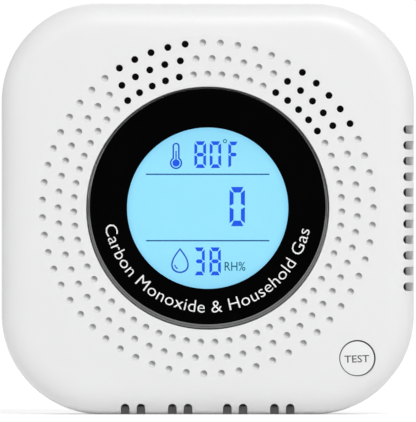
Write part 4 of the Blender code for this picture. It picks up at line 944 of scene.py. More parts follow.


# Painted shade: the rim of the glow is darkened just inside the window's black print.
rim = ramp(tree, away.outputs["Value"], 19.0 * MM, 21.0 * MM)
ends = ramp(tree, maths(tree, "ABSOLUTE", places.outputs["Z"], 0.0), 10 * MM, 19 * MM)
glow = blend_colour(tree, maths(tree, "MULTIPLY", ends, 0.35), PALE, PALER)
glow = blend_colour(tree, maths(tree, "MULTIPLY", rim, 0.5), glow, RIM_SHADE_BLUE)
cells = noise(tree, where, 1200.0, 1.0)
glow = blend_colour(tree, maths(tree, "MULTIPLY", cells, 0.05), glow, PALER)
tree.links.new(blend_colour(tree, 0.93, glow, (0.0, 0.0, 0.0)), shader.inputs["Base Color"])
tree.links.new(glow, shader.inputs["Emission Color"])
shader.inputs["Emission Strength"].default_value = 1.05
shader.inputs["Roughness"].default_value = 0.4
shader.inputs["Specular IOR Level"].default_value = 0.1
glass_low, glass_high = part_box("lcd_glass")
GLASS_Y = glass_low.y
display = box("display_glass", glass_low, glass_high)
bevel_edges(display, lambda edge: all(abs(point.co.y - GLASS_Y) < 1e-6 for point in edge.verts), 0.25 * MM, 2)
finish_piece(display, GLOW, nodes=["lcd_glass"])


# %% [markdown]
# The segments are flat shapes that are drawn as closed outlines, filled, given a hair's thickness and made
# a mesh. A digit is a box of seven bars. Only the outlines of the bars in use are drawn.

# %% Flat shapes from outlines
def flat_shape(name, outlines, low_y, thick):
    """Filled outlines in x and z, facing the front; an outline inside another one is a hole."""
    curve = bpy.data.curves.new(name, "CURVE")
    curve.dimensions, curve.fill_mode, curve.extrude = "2D", "BOTH", thick / 2
    for outline in outlines:
        spline = curve.splines.new("POLY")
        spline.points.add(len(outline) - 1)
        for point, (x, z) in zip(spline.points, outline):
            point.co = (x, z, 0, 1)
        spline.use_cyclic_u = True
    made = bpy.data.objects.new(name, curve)
    bpy.context.scene.collection.objects.link(made)
    alone(made)
    bpy.ops.object.convert(target="MESH")
    made = bpy.context.object
    made.rotation_euler = (math.radians(90), 0, 0)
    made.location = (0, low_y + thick / 2, 0)
    bpy.ops.object.transform_apply(location=True, rotation=True, scale=True)
    return merge_points(made, 1e-7)


def circle_points(x, z, radius, start=0, stop=360, count=24):
    closed = abs(stop - start) >= 360
    steps = count if closed else count - 1
    return [(x + radius * math.cos(math.radians(start + (stop - start) * i / steps)),
             z + radius * math.sin(math.radians(start + (stop - start) * i / steps))) for i in range(count)]


def bars(which, x, z, wide, high, thick, side):
    """The bars of one digit as outlines; (x, z) is its lower left corner."""
    def mirror(points, over_x, over_z):
        return [(wide - px if over_x else px, high - pz if over_z else pz) for px, pz in points]

    level = [(0.09 * wide, high), (0.91 * wide, high), (0.72 * wide, high - thick), (0.28 * wide, high - thick)]
    middle = [(0.16 * wide, high / 2), (0.31 * wide, high / 2 + thick / 2), (0.69 * wide, high / 2 + thick / 2),
              (0.84 * wide, high / 2), (0.69 * wide, high / 2 - thick / 2), (0.31 * wide, high / 2 - thick / 2)]
    post = [(0, 0.93 * high), (side, 0.84 * high), (side, 0.57 * high), (0, 0.515 * high)]
    foot = [(0, 0.485 * high), (side, 0.43 * high), (side, 0.07 * high), (0, 0.0)]
    shapes = {"top": level, "bottom": mirror(level, False, True), "middle": middle, "foot": foot,
              "upper_left": post, "upper_right": mirror(post, True, False),
              "lower_left": mirror(post, False, True), "lower_right": mirror(post, True, True)}
    return [[(x + px, z + pz) for px, pz in shapes[name]] for name in which]


DIGIT = {"0": ("top", "bottom", "upper_left", "upper_right", "lower_left", "lower_right"),
         "3": ("top", "middle", "bottom", "upper_right", "lower_right"),
         "8": ("top", "middle", "bottom", "upper_left", "upper_right", "lower_left", "lower_right"),
         "F": ("top", "middle", "upper_left", "foot")}

# %% Digits on the display
FILM = 0.06 * MM
FILM_Y = GLASS_Y - FILM - 0.01 * MM
SIGN_X, SIGN_Z = -0.10 * MM, MID_Z + 0.20 * MM   # the signs sit a little left of and above the middle
digit_rows = [("8", -3.28, 10.02, 2.97, 6.80, 0.94, 0.72), ("0", 0.62, 10.02, 2.90, 6.80, 0.94, 0.72),
              ("F", 5.36, 10.15, 2.55, 6.60, 0.94, 0.72), ("0", 5.66, -4.78, 3.92, 9.98, 1.42, 1.02),
              ("3", -3.40, -17.28, 2.75, 7.10, 0.98, 0.70), ("8", 0.56, -17.28, 2.88, 7.10, 0.98, 0.70)]
outlines = []
for sign, x, z, wide, high, thick, side in digit_rows:
    outlines += bars(DIGIT[sign], SIGN_X + x * MM, SIGN_Z + z * MM, wide * MM, high * MM, thick * MM, side * MM)
digits = flat_shape("display_digits", outlines, FILM_Y, FILM)
print("bars drawn:", len(outlines))


# %% Finish of the segments
segment_ink, given, result = new_group(
    "segment_ink", [("Colour", COLOUR, (0.01, 0.1, 0.8, 1)), ("Shade", COLOUR, (0.02, 0.12, 0.9, 1))],
    [("Colour", COLOUR), ("Unlit", COLOUR)])
mixed = blend_colour(segment_ink, noise(segment_ink, object_place(segment_ink), 700.0, 2.0),
                     given.outputs["Colour"], given.outputs["Shade"])
segment_ink.links.new(mixed, result.inputs["Colour"])
segment_ink.links.new(blend_colour(segment_ink, 0.93, mixed, (0.0, 0.0, 0.0)), result.inputs["Unlit"])


def inked(name, colour, shade):
    """A segment's colour glows a little, because the light guide shines through it."""
    look = bpy.data.materials.new(name)
    look.use_nodes = True
    tree = look.node_tree
    shader = tree.nodes["Principled BSDF"]
    ink = placed(tree, segment_ink, Colour=colour, Shade=shade)
    tree.links.new(ink["Colour"], shader.inputs["Emission Color"])
    tree.links.new(ink["Unlit"], shader.inputs["Base Color"])
    shader.inputs["Emission Strength"].default_value = 0.95
    shader.inputs["Roughness"].default_value = 0.6
    shader.inputs["Specular IOR Level"].default_value = 0.1
    return look


SEGMENT_BLUE = inked("segment_blue", (0.014, 0.100, 0.86), (0.022, 0.125, 0.95))
LINE_BLUE = inked("line_blue", (0.012, 0.105, 0.34), (0.018, 0.130, 0.40))
SMALL_TEAL = inked("small_teal", (0.012, 0.13, 0.22), (0.018, 0.16, 0.26))
OUTLINE_BLUE = inked("outline_blue", (0.012, 0.085, 0.62), (0.018, 0.10, 0.70))
finish_piece(digits, SEGMENT_BLUE, smooth=0)

# %% Lines across the display
lines = flat_shape("display_lines", [
    [(SIGN_X - 15.6 * MM, SIGN_Z + z * MM - 0.17 * MM), (SIGN_X + 15.8 * MM, SIGN_Z + z * MM - 0.17 * MM),
     (SIGN_X + 15.8 * MM, SIGN_Z + z * MM + 0.17 * MM), (SIGN_X - 15.6 * MM, SIGN_Z + z * MM + 0.17 * MM)]
    for z in (8.42, -8.47)], FILM_Y, FILM)
finish_piece(lines, LINE_BLUE, smooth=0)

# %% Thermometer and water drop
STROKE = 0.38 * MM


def thermometer(x, bulb_z, tube_z, bulb, tube):
    """Outline of a bulb with a round-topped tube."""
    meet = math.degrees(math.asin(tube / bulb))
    points = circle_points(x, bulb_z, bulb, 90 + meet, 450 - meet, 28)
    return points + circle_points(x, tube_z, tube, 0, 180, 12)


def drop(x, z, half_high, half_wide):
    points = []
    for step in range(40):
        turn = 2 * math.pi * (step + 0.5) / 40
        points.append((x + half_wide / 0.745 * math.sin(turn) * math.sin(turn / 2) ** 1.15,
                       z + half_high * math.cos(turn)))
    return points


bulb_x, bulb_z, tube_z = SIGN_X - 7.95 * MM, SIGN_Z + 11.30 * MM, SIGN_Z + 15.55 * MM
icons = [thermometer(bulb_x, bulb_z, tube_z, 1.56 * MM, 0.90 * MM),
         thermometer(bulb_x, bulb_z, tube_z, 1.56 * MM - STROKE, 0.90 * MM - STROKE)]
drop_x, drop_z = SIGN_X - 6.95 * MM, SIGN_Z - 13.50 * MM
icons += [drop(drop_x, drop_z, 3.22 * MM, 2.24 * MM),
          drop(drop_x, drop_z - 0.10 * MM, 3.22 * MM - 1.3 * STROKE, 2.24 * MM - STROKE)]
shine = circle_points(drop_x, drop_z - 0.9 * MM, 1.50 * MM, 188, 245, 8)
shine += circle_points(drop_x, drop_z - 0.9 * MM, 1.20 * MM, 245, 188, 8)
icons.append(shine)
icon_lines = flat_shape("display_icons", icons, FILM_Y, FILM)
finish_piece(icon_lines, OUTLINE_BLUE, smooth=0)
bulb = circle_points(bulb_x, bulb_z, 0.93 * MM, 100, 440, 24)
bulb += [(bulb_x + 0.17 * MM, SIGN_Z + 14.4 * MM), (bulb_x - 0.17 * MM, SIGN_Z + 14.4 * MM)]
mercury = flat_shape("display_bulb", [bulb], FILM_Y, FILM)
finish_piece(mercury, SEGMENT_BLUE, smooth=0)

# %% Small units
degree = flat_shape("display_degree", [circle_points(SIGN_X + 4.5 * MM, SIGN_Z + 16.85 * MM, 0.52 * MM),
                                       circle_points(SIGN_X + 4.5 * MM, SIGN_Z + 16.85 * MM, 0.30 * MM)], FILM_Y, FILM)
finish_piece(degree, SMALL_TEAL, smooth=0)
humidity = fit(written("RH%", 3 * MM, FILM, "display_humidity", 0.02 * MM), SIGN_X + 4.40 * MM, SIGN_X + 9.70 * MM,
               SIGN_Z - 16.15 * MM, SIGN_Z - 13.85 * MM, FILM_Y + FILM)
finish_piece(humidity, SMALL_TEAL, smooth=0)

# %% [markdown]
# ## TEST button
#
# The button is a round cap with a flange that keeps it behind the cover and a short stem that presses the
# switch. It is turned in one piece, with a small round on its rim, and the word is printed on its face.

# %% Button
face = BUTTON_Y
STEM = 1.6 * MM
cap_profile = [(BUTTON_RADIUS - 0.2 * MM, face), (BUTTON_RADIUS - 0.06 * MM, face + 0.04 * MM),
               (BUTTON_RADIUS, face + 0.16 * MM), (BUTTON_RADIUS, FLANGE_Y), (FLANGE_RADIUS, FLANGE_Y),
               (FLANGE_RADIUS, FLANGE_REAR), (STEM, FLANGE_REAR), (STEM, STEM_END)]
button = turned("test_button_cap", cap_profile, (BUTTON_X, BUTTON_Z), 72)
# Painted shade darkens the cap's side and flange deep in the gap round the button.
CAP_PAINTED_SHADE = shade_recesses(BUTTON_WHITE, "painted_shade_button_cap", -1.0, 6 * MM, face + 0.3 * MM, face + 0.8 * MM,
                           (BUTTON_X, BUTTON_Z), 0.9, 0.9)
finish_piece(button, CAP_PAINTED_SHADE, "button", ["test_button"], smooth=50)
word = written("TEST", 2.4 * MM, INK, "test_button_word", 0.02 * MM)
fit(word, BUTTON_X - 3.22 * MM, BUTTON_X + 3.05 * MM, BUTTON_Z - 1.05 * MM, BUTTON_Z + 0.80 * MM, face)
alone(word)
editing(True)
bpy.ops.mesh.select_all(action="SELECT")
bpy.ops.transform.rotate(value=math.radians(1.7), orient_axis="Y", center_override=(BUTTON_X, face, BUTTON_Z))
editing(False)
finish_piece(word, GREY_INK, "button", smooth=0)

# %% [markdown]
# ## Rear cover
#
# The rear cover is the second big moulding. It is a shallow tray with a rounded back edge, a tongue that
# slips inside the front cover, four screw posts, and the battery well with its door frame. It is lofted and
# walled in the same way as the front, and its openings are cut with box cutters whose mouths flare a
# little, because a moulded opening never has a knife-sharp lip.

# %% Tray and tongue
rear_cover = turn_if_inside_out(loft("rear_cover_shell", rear_rings(0, SEAM_Y + GAP * 2 / 3), "last"), (0, 1, 0))
apply_step(rear_cover, "SOLIDIFY", thickness=WALL, offset=-1, use_even_offset=True)
TONGUE_OUT, TONGUE_IN, TONGUE_ROOT = WALL + GAP, WALL + GAP + 1.2 * MM, WALL / 2
tongue_section = ((TONGUE_ROOT, 0.8), (TONGUE_OUT, 0.8), (TONGUE_OUT, -2.5), (TONGUE_IN, -2.5), (TONGUE_IN, 3.0),
                  (TONGUE_ROOT, 3.0), (TONGUE_ROOT, 0.8))
tongue = loft("tongue", [outline_ring(inset, SEAM_Y + y * MM) for inset, y in tongue_section], "none")
merge_points(tongue, 1e-6)
cut(rear_cover, tongue, "UNION")
print("tray and tongue", len(rear_cover.data.polygons), "faces")

# %% Posts, door frame and battery well
POST = 4.2 * MM
power_low, power_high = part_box("power_board")
power_screw_low, power_screw_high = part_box("power_screw_2")
POWER_X = (power_screw_low.x + power_screw_high.x) / 2
POWER_Z = (power_screw_low.z + power_screw_high.z) / 2
HINGE_Y, HINGE_Z = 16.8 * MM, 8.0 * MM
past = BACK_Y + PAST
posts = [rod("post", POST, SEAM_Y + GAP / 2, past, place, 40) for place in CASE_SCREWS]
posts += [rod("small_post", 2.8 * MM, power_high.y + GAP, past, (side * POWER_X, POWER_Z), 32) for side in (-1, 1)]
posts.append(box("door_frame", (-32.35 * MM, 13.3 * MM, 4.2 * MM), (32.35 * MM, past, 42.1 * MM)))
posts = join("posts", posts)
cut(posts, box("well_box", (-30.05 * MM, -3.0 * MM, 10.0 * MM), (30.05 * MM, 14.0 * MM, 40.5 * MM)), "UNION")
cut(posts, loft("rear_core", [outline_ring(WALL / 2, FRONT_Y)] + rear_rings(WALL / 2, SEAM_Y, 6), "both"),
    "INTERSECT")
cut(rear_cover, posts, "UNION")


# %% Openings in the back
def flared(name, low, high, lip=0.2 * MM):
    """A box cutter whose mouth in the back plane is wider by lip all round."""
    piece = box(name, low, (high[0], BACK_Y - lip, high[2]))
    middle = Vector(((low[0] + high[0]) / 2, BACK_Y - lip, (low[2] + high[2]) / 2))
    size = (1 + 2 * lip / (high[0] - low[0]), 1, 1 + 2 * lip / (high[2] - low[2]))
    alone(piece)
    editing(True)
    select(piece, lambda face: face.normal.y > 0.9)
    bpy.ops.mesh.extrude_region()
    bpy.ops.transform.resize(value=size, center_override=middle)
    bpy.ops.transform.translate(value=(0, lip, 0))
    bpy.ops.mesh.extrude_region()
    bpy.ops.transform.translate(value=(0, PAST, 0))
    face_out()
    editing(False)
    return piece


cut(rear_cover, flared("seat", (-30.15 * MM, 16.4 * MM, 5.7 * MM), (30.15 * MM, past, 40.6 * MM)))
cut(rear_cover, box("well", (-28.55 * MM, -1.5 * MM, 11.5 * MM), (28.55 * MM, past, 39.0 * MM)))
groove = turned("groove", [(1.2 * MM, -31.65 * MM), (1.2 * MM, -30.15 * MM), (2.3 * MM, -30.15 * MM),
                           (2.3 * MM, 30.15 * MM), (1.2 * MM, 30.15 * MM), (1.2 * MM, 31.65 * MM)],
                (HINGE_Y, HINGE_Z), 40, along_x=True)
cut(rear_cover, groove)
cut(rear_cover, flared("notch", (-5.4 * MM, 16.4 * MM, 39.6 * MM), (5.4 * MM, past, 42.4 * MM), 0.1 * MM))
cut(rear_cover, box("lead_window", (-31.05 * MM, -0.5 * MM, 28.25 * MM), (-27.55 * MM, 4.5 * MM, 34.25 * MM)))
cut(rear_cover, flared("plug_opening", (-15.3 * MM, 16.0 * MM, 61.2 * MM), (15.3 * MM, past, 83.8 * MM)))
cut(rear_cover, box("label_recess", (-25.3 * MM, 18.4 * MM, 86.95 * MM), (25.3 * MM, past, 97.55 * MM)))
SCREW_SEAT_Y = SEAM_Y + 2.5 * MM
bores = [turned("bore", [(1.5 * MM, SEAM_Y - PAST), (1.5 * MM, SCREW_SEAT_Y), (2.9 * MM, SCREW_SEAT_Y),
                         (2.9 * MM, BACK_Y - 0.3 * MM), (3.2 * MM, BACK_Y), (3.2 * MM, past)], place, 32)
         for place in CASE_SCREWS]
bores += [rod("power_thread", 1.3 * MM, power_low.y, 17.0 * MM, (side * POWER_X, POWER_Z), 20) for side in (-1, 1)]
cut(rear_cover, join("bores", bores))
finish_piece(rear_cover, WHITE, nodes=["rear_cover"], smooth=28)
rear_cover.name = "rear_cover_moulding"

# %% [markdown]
# ## Battery door
#
# The door is a flat panel on a round barrel. Two pegs at the barrel's ends turn in the rear cover, and a
# tab at the top snaps into its notch. The grooves by the tab give a fingertip something to pull on.

# %% Door
panel = box("battery_door_panel", (-29.75 * MM, 16.7 * MM, HINGE_Z), (29.75 * MM, 18.7 * MM, 40.2 * MM))
bevel_edges(panel, lambda edge: all(point.co.y > 18.6 * MM for point in edge.verts), 0.35 * MM, 3)
barrel = turned("barrel", [(0.9 * MM, -30.95 * MM), (0.9 * MM, -29.75 * MM), (1.9 * MM, -29.75 * MM),
                           (1.9 * MM, 29.75 * MM), (0.9 * MM, 29.75 * MM), (0.9 * MM, 30.95 * MM)],
                (HINGE_Y, HINGE_Z), 40, along_x=True)
cut(panel, barrel, "UNION")
cut(panel, box("latch", (-5.0 * MM, 17.0 * MM, 39.2 * MM), (5.0 * MM, 18.4 * MM, 42.0 * MM)), "UNION")
grips = [box("grip", (-9 * MM, 18.35 * MM, z * MM), (9 * MM, past, (z + 0.7) * MM)) for z in (30.4, 32.2, 34.0, 35.8)]
cut(panel, join("grips", grips))
finish_piece(panel, WHITE, "door", ["battery_door"], 28)

# %% [markdown]
# ## Plug
#
# Two flat blades stand in a moulded block that is trapped behind the rear cover. A blade is stamped from
# brass strip 1.5 mm thick and nickel plated; its tip is chamfered and a round hole lets a socket's spring
# catch it.

# %% Block and blades
PLUG_Z = 72.5 * MM
block_low, block_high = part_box("plug_block")
plug = box("plug_moulding", block_low, (block_high.x, block_low.y + 2 * MM, block_high.z))
nose = box("nose", (-15 * MM, block_low.y + MM, PLUG_Z - 11 * MM), (15 * MM, block_high.y, PLUG_Z + 11 * MM))
soft_edges(nose, 0.4 * MM, 3)
cut(plug, nose, "UNION")
left_low, left_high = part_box("plug_blade_left")
right_low, right_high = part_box("plug_blade_right")
for low, high in ((left_low, left_high), (right_low, right_high)):
    room = Vector((GAP, 0, GAP))
    cut(plug, box("blade_slot", Vector((low.x, block_low.y - PAST, low.z)) - room,
                  Vector((high.x, past, high.z)) + room))
finish_piece(plug, WHITE, nodes=["plug_block"])

BRASS = new_finish("nickel_brass", worn_metal, 0.12, {}, True,
                   Colour=(0.74, 0.70, 0.60), Shade=(0.62, 0.57, 0.44), Roughness=0.18)
STEEL = new_finish("plated_steel", worn_metal, 0.15, {}, True,
                   Colour=(0.62, 0.62, 0.60), Shade=(0.48, 0.48, 0.47), Roughness=0.24)
BLADE_HOLE_Y = 30.7 * MM
blade = box("blade_left", left_low, left_high)
bevel_edges(blade, lambda edge: all(point.co.y > left_high.y - 1e-6 for point in edge.verts), 0.55 * MM, 4)
hole = turned("blade_hole", [(1.6 * MM, left_low.x - PAST), (1.6 * MM, left_high.x + PAST)],
              (BLADE_HOLE_Y, PLUG_Z), 40, along_x=True)
cut(blade, hole)
other_blade = copy_to(blade, (right_low.x - left_low.x, 0, 0))
other_blade.name = "blade_right"
finish_piece(blade, BRASS, nodes=["plug_blade_left"])
finish_piece(other_blade, BRASS, nodes=["plug_blade_right"])

# %% [markdown]
# ## Screws
#
# Four self-tapping screws hold the covers together from behind. A screw is turned, its head is slightly
# domed, and a cross is pressed into it. One is modelled and copied to the other three places.

# %% Case screws
screw_low, screw_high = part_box("case_screw_1")
HEAD = (screw_high.x - screw_low.x) / 2
HEAD_END = screw_high.y
screw_profile = [(HEAD - 0.7 * MM, HEAD_END), (HEAD - 0.25 * MM, HEAD_END - 0.16 * MM),
                 (HEAD, HEAD_END - 0.6 * MM), (HEAD, SCREW_SEAT_Y + GAP), (1.2 * MM, SCREW_SEAT_Y + GAP),
                 (1.2 * MM, screw_low.y + 0.8 * MM), (0.6 * MM, screw_low.y)]
screw = turned("case_screw_upper_left", screw_profile, CASE_SCREWS[0], 40)
middle = Vector((CASE_SCREWS[0][0], HEAD_END, CASE_SCREWS[0][1]))
for wide, high in ((0.42, 1.5), (1.5, 0.42)):
    reach = Vector((wide * MM, 1.3 * MM, high * MM))
    cut(screw, box("cross", middle - reach, middle + reach))
for number, name in ((2, "upper_right"), (3, "lower_left"), (4, "lower_right")):
    (x, z), (first_x, first_z) = CASE_SCREWS[number - 1], CASE_SCREWS[0]
    made = copy_to(screw, (x - first_x, 0, z - first_z))
    made.name = "case_screw_" + name
    finish_piece(made, STEEL, nodes=[f"case_screw_{number}"])
finish_piece(screw, STEEL, nodes=["case_screw_1"])

# %% [markdown]
# ## Battery
#
# The back-up battery is a standard nine-volt block: a steel can in a printed wrap, with bare ends and two
# studs. The wrap is dark with one warm band, and only its colours tell it apart from the can.


# %% Finish with bare ends
bare_ends, given, result = new_group(
    "bare_ends", [("Middle", FLOAT, 0.0), ("Bare From", FLOAT, 0.01), ("Band From", FLOAT, 0.0)],
    [("Ends", FLOAT), ("Band", FLOAT)])
place = split(bare_ends, object_place(bare_ends))
along = maths(bare_ends, "ABSOLUTE", maths(bare_ends, "SUBTRACT", place["X"], given.outputs["Middle"]), 0.0)
bare_ends.links.new(maths(bare_ends, "GREATER_THAN", along, given.outputs["Bare From"]), result.inputs["Ends"])
bare_ends.links.new(maths(bare_ends, "GREATER_THAN", place["X"], given.outputs["Band From"]),
                    result.inputs["Band"])


def capped(name, low, high, cap, colours, caps, gloss=0.3):
    """Body colours between two bare metal ends, along X from low to high."""
    look = bpy.data.materials.new(name)
    look.use_nodes = True
    tree = look.node_tree
    shader = tree.nodes["Principled BSDF"]
    mask = placed(tree, bare_ends, Middle=(low + high) / 2, Bare_From=(high - low) / 2 - cap,
                  Band_From=low + (high - low) * 0.68)
    body = placed(tree, moulded, Colour=colours[0], Shade=colours[1], Roughness=gloss)
    bare = placed(tree, worn_metal, Colour=caps[0], Shade=caps[1])
    wrap = blend_colour(tree, maths(tree, "MULTIPLY", mask["Band"], 0.92), body["Colour"], colours[2])
    tree.links.new(blend_colour(tree, mask["Ends"], wrap, bare["Colour"]), shader.inputs["Base Color"])
    tree.links.new(mask["Ends"], shader.inputs["Metallic"])
    tree.links.new(body["Roughness"], shader.inputs["Roughness"])
    return look


battery_low, battery_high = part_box("battery")
STUD_HIGH = 2.6 * MM
battery_middle = (battery_low + battery_high) / 2
BATTERY_WRAP = capped("battery_shell", battery_low.x + STUD_HIGH, battery_high.x, 1.1 * MM,
                      ((0.035, 0.038, 0.045), (0.05, 0.053, 0.06), (0.52, 0.26, 0.07)),
                      ((0.62, 0.62, 0.60), (0.50, 0.50, 0.48)))
battery = box("battery_block", (battery_low.x + STUD_HIGH, battery_low.y, battery_low.z), battery_high)
soft_edges(battery, 1.5 * MM, 4)
for side, radius in ((-1, 2.9), (1, 2.7)):
    stud = turned("stud", [(radius * MM, battery_low.x + 3.5 * MM), (radius * MM, battery_low.x + 0.8 * MM),
                           ((radius - 0.3) * MM, battery_low.x + 0.1 * MM), ((radius - 0.9) * MM, battery_low.x)],
                  (battery_middle.y, battery_middle.z + side * 6.35 * MM), 32, along_x=True)
    cut(battery, stud, "UNION")
finish_piece(battery, BATTERY_WRAP, nodes=["battery"])

# %% [markdown]
# ## Label
#
# A satin film label sits in its own shallow recess. It is left blank apart from a printed frame line and
# two dividing lines, which the finish draws from the label's own place.

# %% Rating label
label_low, label_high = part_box("rating_label")
label = box("blank_label", label_low, label_high)
bevel_edges(label, lambda edge: abs(edge.verts[0].co.y - edge.verts[1].co.y) > 1e-5, 1.0 * MM, 5)
LABEL = new_finish("label_film", moulded, 0.05, {}, Colour=(0.70, 0.70, 0.70), Shade=(0.66, 0.66, 0.66),
                   Roughness=0.35)
tree = LABEL.node_tree
shader = tree.nodes["Principled BSDF"]
plain = shader.inputs["Base Color"].links[0].from_socket
places = tree.nodes.new("ShaderNodeSeparateXYZ")
tree.links.new(tree.nodes.new("ShaderNodeTexCoord").outputs["Object"], places.inputs[0])
label_middle = (label_low + label_high) / 2
half_wide, half_high = (label_high.x - label_low.x) / 2, (label_high.z - label_low.z) / 2
from_x = maths(tree, "ABSOLUTE", maths(tree, "SUBTRACT", places.outputs["X"], label_middle.x), 0.0)
from_z = maths(tree, "ABSOLUTE", maths(tree, "SUBTRACT", places.outputs["Z"], label_middle.z), 0.0)
to_edge = maths(tree, "MINIMUM", maths(tree, "SUBTRACT", half_wide, from_x), maths(tree, "SUBTRACT", half_high, from_z))
frame_line = maths(tree, "MULTIPLY", maths(tree, "GREATER_THAN", to_edge, 0.8 * MM),
                   maths(tree, "LESS_THAN", to_edge, 1.0 * MM))
inside = maths(tree, "GREATER_THAN", to_edge, 0.8 * MM)
divider = maths(tree, "LESS_THAN", maths(tree, "ABSOLUTE", maths(tree, "SUBTRACT", from_x, 9 * MM), 0.0), 0.1 * MM)
lines = maths(tree, "MAXIMUM", frame_line, maths(tree, "MULTIPLY", inside, divider))
tree.links.new(blend_colour(tree, lines, plain, (0.05, 0.05, 0.05)), shader.inputs["Base Color"])
finish_piece(label, LABEL, nodes=["rating_label"])

# %% [markdown]
# ## Finishes of the parts inside
#
# The boards, sensors, sounder, wires and frames are carried over as they are, and each gets the finish of
# its real material. Solder mask has fine traces and bright pads, foam and mesh are woven, contact rubber
# and ribbon cable are striped, and the rest is moulded plastic or plated metal.

# %% Striped, woven and circuit groups
VECTOR = "NodeSocketVector"


def stripe_of(tree, vector, direction, pitch, share):
    """1 where the place along direction lies in the first share of a pitch."""
    along = tree.nodes.new("ShaderNodeVectorMath")
    along.operation = "DOT_PRODUCT"
    tree.links.new(vector, along.inputs[0])
    if isinstance(direction, tuple):
        along.inputs[1].default_value = direction
    else:
        tree.links.new(direction, along.inputs[1])
    turns = maths(tree, "FRACT", maths(tree, "DIVIDE", along.outputs["Value"], pitch), 0.0)
    return maths(tree, "LESS_THAN", turns, share)


striped, given, result = new_group(
    "striped",
    [("Colour", COLOUR, (0.5, 0.5, 0.5, 1)), ("Shade", COLOUR, (0.1, 0.1, 0.1, 1)),
     ("Direction", VECTOR, (1.0, 0.0, 0.0)), ("Pitch", FLOAT, 0.001), ("Share", FLOAT, 0.5),
     ("Roughness", FLOAT, 0.5)],
    [("Colour", COLOUR), ("Roughness", FLOAT), ("Height", FLOAT)])
where = object_place(striped)
bands = stripe_of(striped, where, given.outputs["Direction"], given.outputs["Pitch"], given.outputs["Share"])
mottled = maths(striped, "MULTIPLY", noise(striped, where, 300.0), 0.12)
striped.links.new(blend_colour(striped, bands, given.outputs["Colour"], given.outputs["Shade"]),
                  result.inputs["Colour"])
striped.links.new(maths(striped, "ADD", given.outputs["Roughness"], mottled), result.inputs["Roughness"])
striped.links.new(bands, result.inputs["Height"])

woven, given, result = new_group(
    "woven",
    [("Colour", COLOUR, (0.02, 0.02, 0.02, 1)), ("Shade", COLOUR, (0.002, 0.002, 0.002, 1)),
     ("Pitch", FLOAT, 0.0004), ("Roughness", FLOAT, 0.9)],
    [("Colour", COLOUR), ("Roughness", FLOAT), ("Height", FLOAT)])
where = object_place(woven)
threads = maths(woven, "MAXIMUM", stripe_of(woven, where, (1.0, 0.0, 0.0), given.outputs["Pitch"], 0.45),
                stripe_of(woven, where, (0.0, 0.0, 1.0), given.outputs["Pitch"], 0.45))
fuzz = maths(woven, "MULTIPLY", noise(woven, where, 2500.0), 0.1)
woven.links.new(blend_colour(woven, threads, given.outputs["Shade"], given.outputs["Colour"]),
                result.inputs["Colour"])
woven.links.new(maths(woven, "SUBTRACT", given.outputs["Roughness"], fuzz), result.inputs["Roughness"])
woven.links.new(threads, result.inputs["Height"])

circuit, given, result = new_group(
    "circuit",
    [("Colour", COLOUR, (0.02, 0.16, 0.06, 1)), ("Shade", COLOUR, (0.015, 0.11, 0.045, 1)),
     ("Pad", COLOUR, (0.72, 0.72, 0.68, 1)), ("Pitch", FLOAT, 0.0016), ("Roughness", FLOAT, 0.35)],
    [("Colour", COLOUR), ("Roughness", FLOAT), ("Height", FLOAT), ("Metal", FLOAT)])
where = object_place(circuit)
blocks = circuit.nodes.new("ShaderNodeTexVoronoi")
blocks.inputs["Scale"].default_value = 110.0
circuit.links.new(where, blocks.inputs["Vector"])
turn = circuit.nodes.new("ShaderNodeSeparateXYZ")
circuit.links.new(blocks.outputs["Color"], turn.inputs[0])
upright = maths(circuit, "GREATER_THAN", turn.outputs["X"], 0.5)
across = stripe_of(circuit, where, (1.0, 0.0, 0.0), given.outputs["Pitch"], 0.35)
level = stripe_of(circuit, where, (0.0, 0.0, 1.0), given.outputs["Pitch"], 0.35)
traces = maths(circuit, "ADD", maths(circuit, "MULTIPLY", upright, across),
               maths(circuit, "MULTIPLY", maths(circuit, "SUBTRACT", 1.0, upright), level))
dots = circuit.nodes.new("ShaderNodeTexVoronoi")
dots.inputs["Scale"].default_value = 260.0
circuit.links.new(where, dots.inputs["Vector"])
pads = maths(circuit, "LESS_THAN", dots.outputs["Distance"], 0.16)
mask = blend_colour(circuit, traces, given.outputs["Colour"], given.outputs["Shade"])
circuit.links.new(blend_colour(circuit, pads, mask, given.outputs["Pad"]), result.inputs["Colour"])
circuit.links.new(given.outputs["Roughness"], result.inputs["Roughness"])
circuit.links.new(maths(circuit, "MAXIMUM", traces, pads), result.inputs["Height"])
circuit.links.new(pads, result.inputs["Metal"])

# %% Finishes of the carried-over parts
BOARD = new_finish("circuit_board", circuit, 0.3, {}, Roughness=0.33)
board_group = next(node for node in BOARD.node_tree.nodes if node.type == "GROUP")
BOARD.node_tree.links.new(board_group.outputs["Metal"],
                          BOARD.node_tree.nodes["Principled BSDF"].inputs["Metallic"])
FOAM = new_finish("black_foam", woven, 0.4, {"Specular IOR Level": 0.1}, Pitch=0.0004, Roughness=0.92)
RUBBER = new_finish("contact_rubber", striped, 0.2, {}, Colour=(0.05, 0.05, 0.055), Shade=(0.012, 0.012, 0.014),
                    Pitch=0.0005, Roughness=0.7)
RIBBON = new_finish("grey_ribbon", striped, 0.5, {}, Colour=(0.45, 0.46, 0.48), Shade=(0.33, 0.34, 0.36),
                    Pitch=0.00127, Share=0.12, Roughness=0.55)
GUIDE = new_finish("light_guide", moulded, 0.1, {}, Colour=(0.80, 0.88, 0.92), Shade=(0.74, 0.83, 0.88),
                   Roughness=0.45)
BLACK_PLASTIC = new_finish("black_plastic", moulded, 0.25, {}, Colour=(0.016, 0.016, 0.018),
                           Shade=(0.026, 0.026, 0.028), Grain_Scale=2500.0, Roughness=0.5)
FILM_BOX = new_finish("film_capacitor", moulded, 0.1, {}, Colour=(0.80, 0.58, 0.07), Shade=(0.70, 0.48, 0.05),
                      Roughness=0.4)
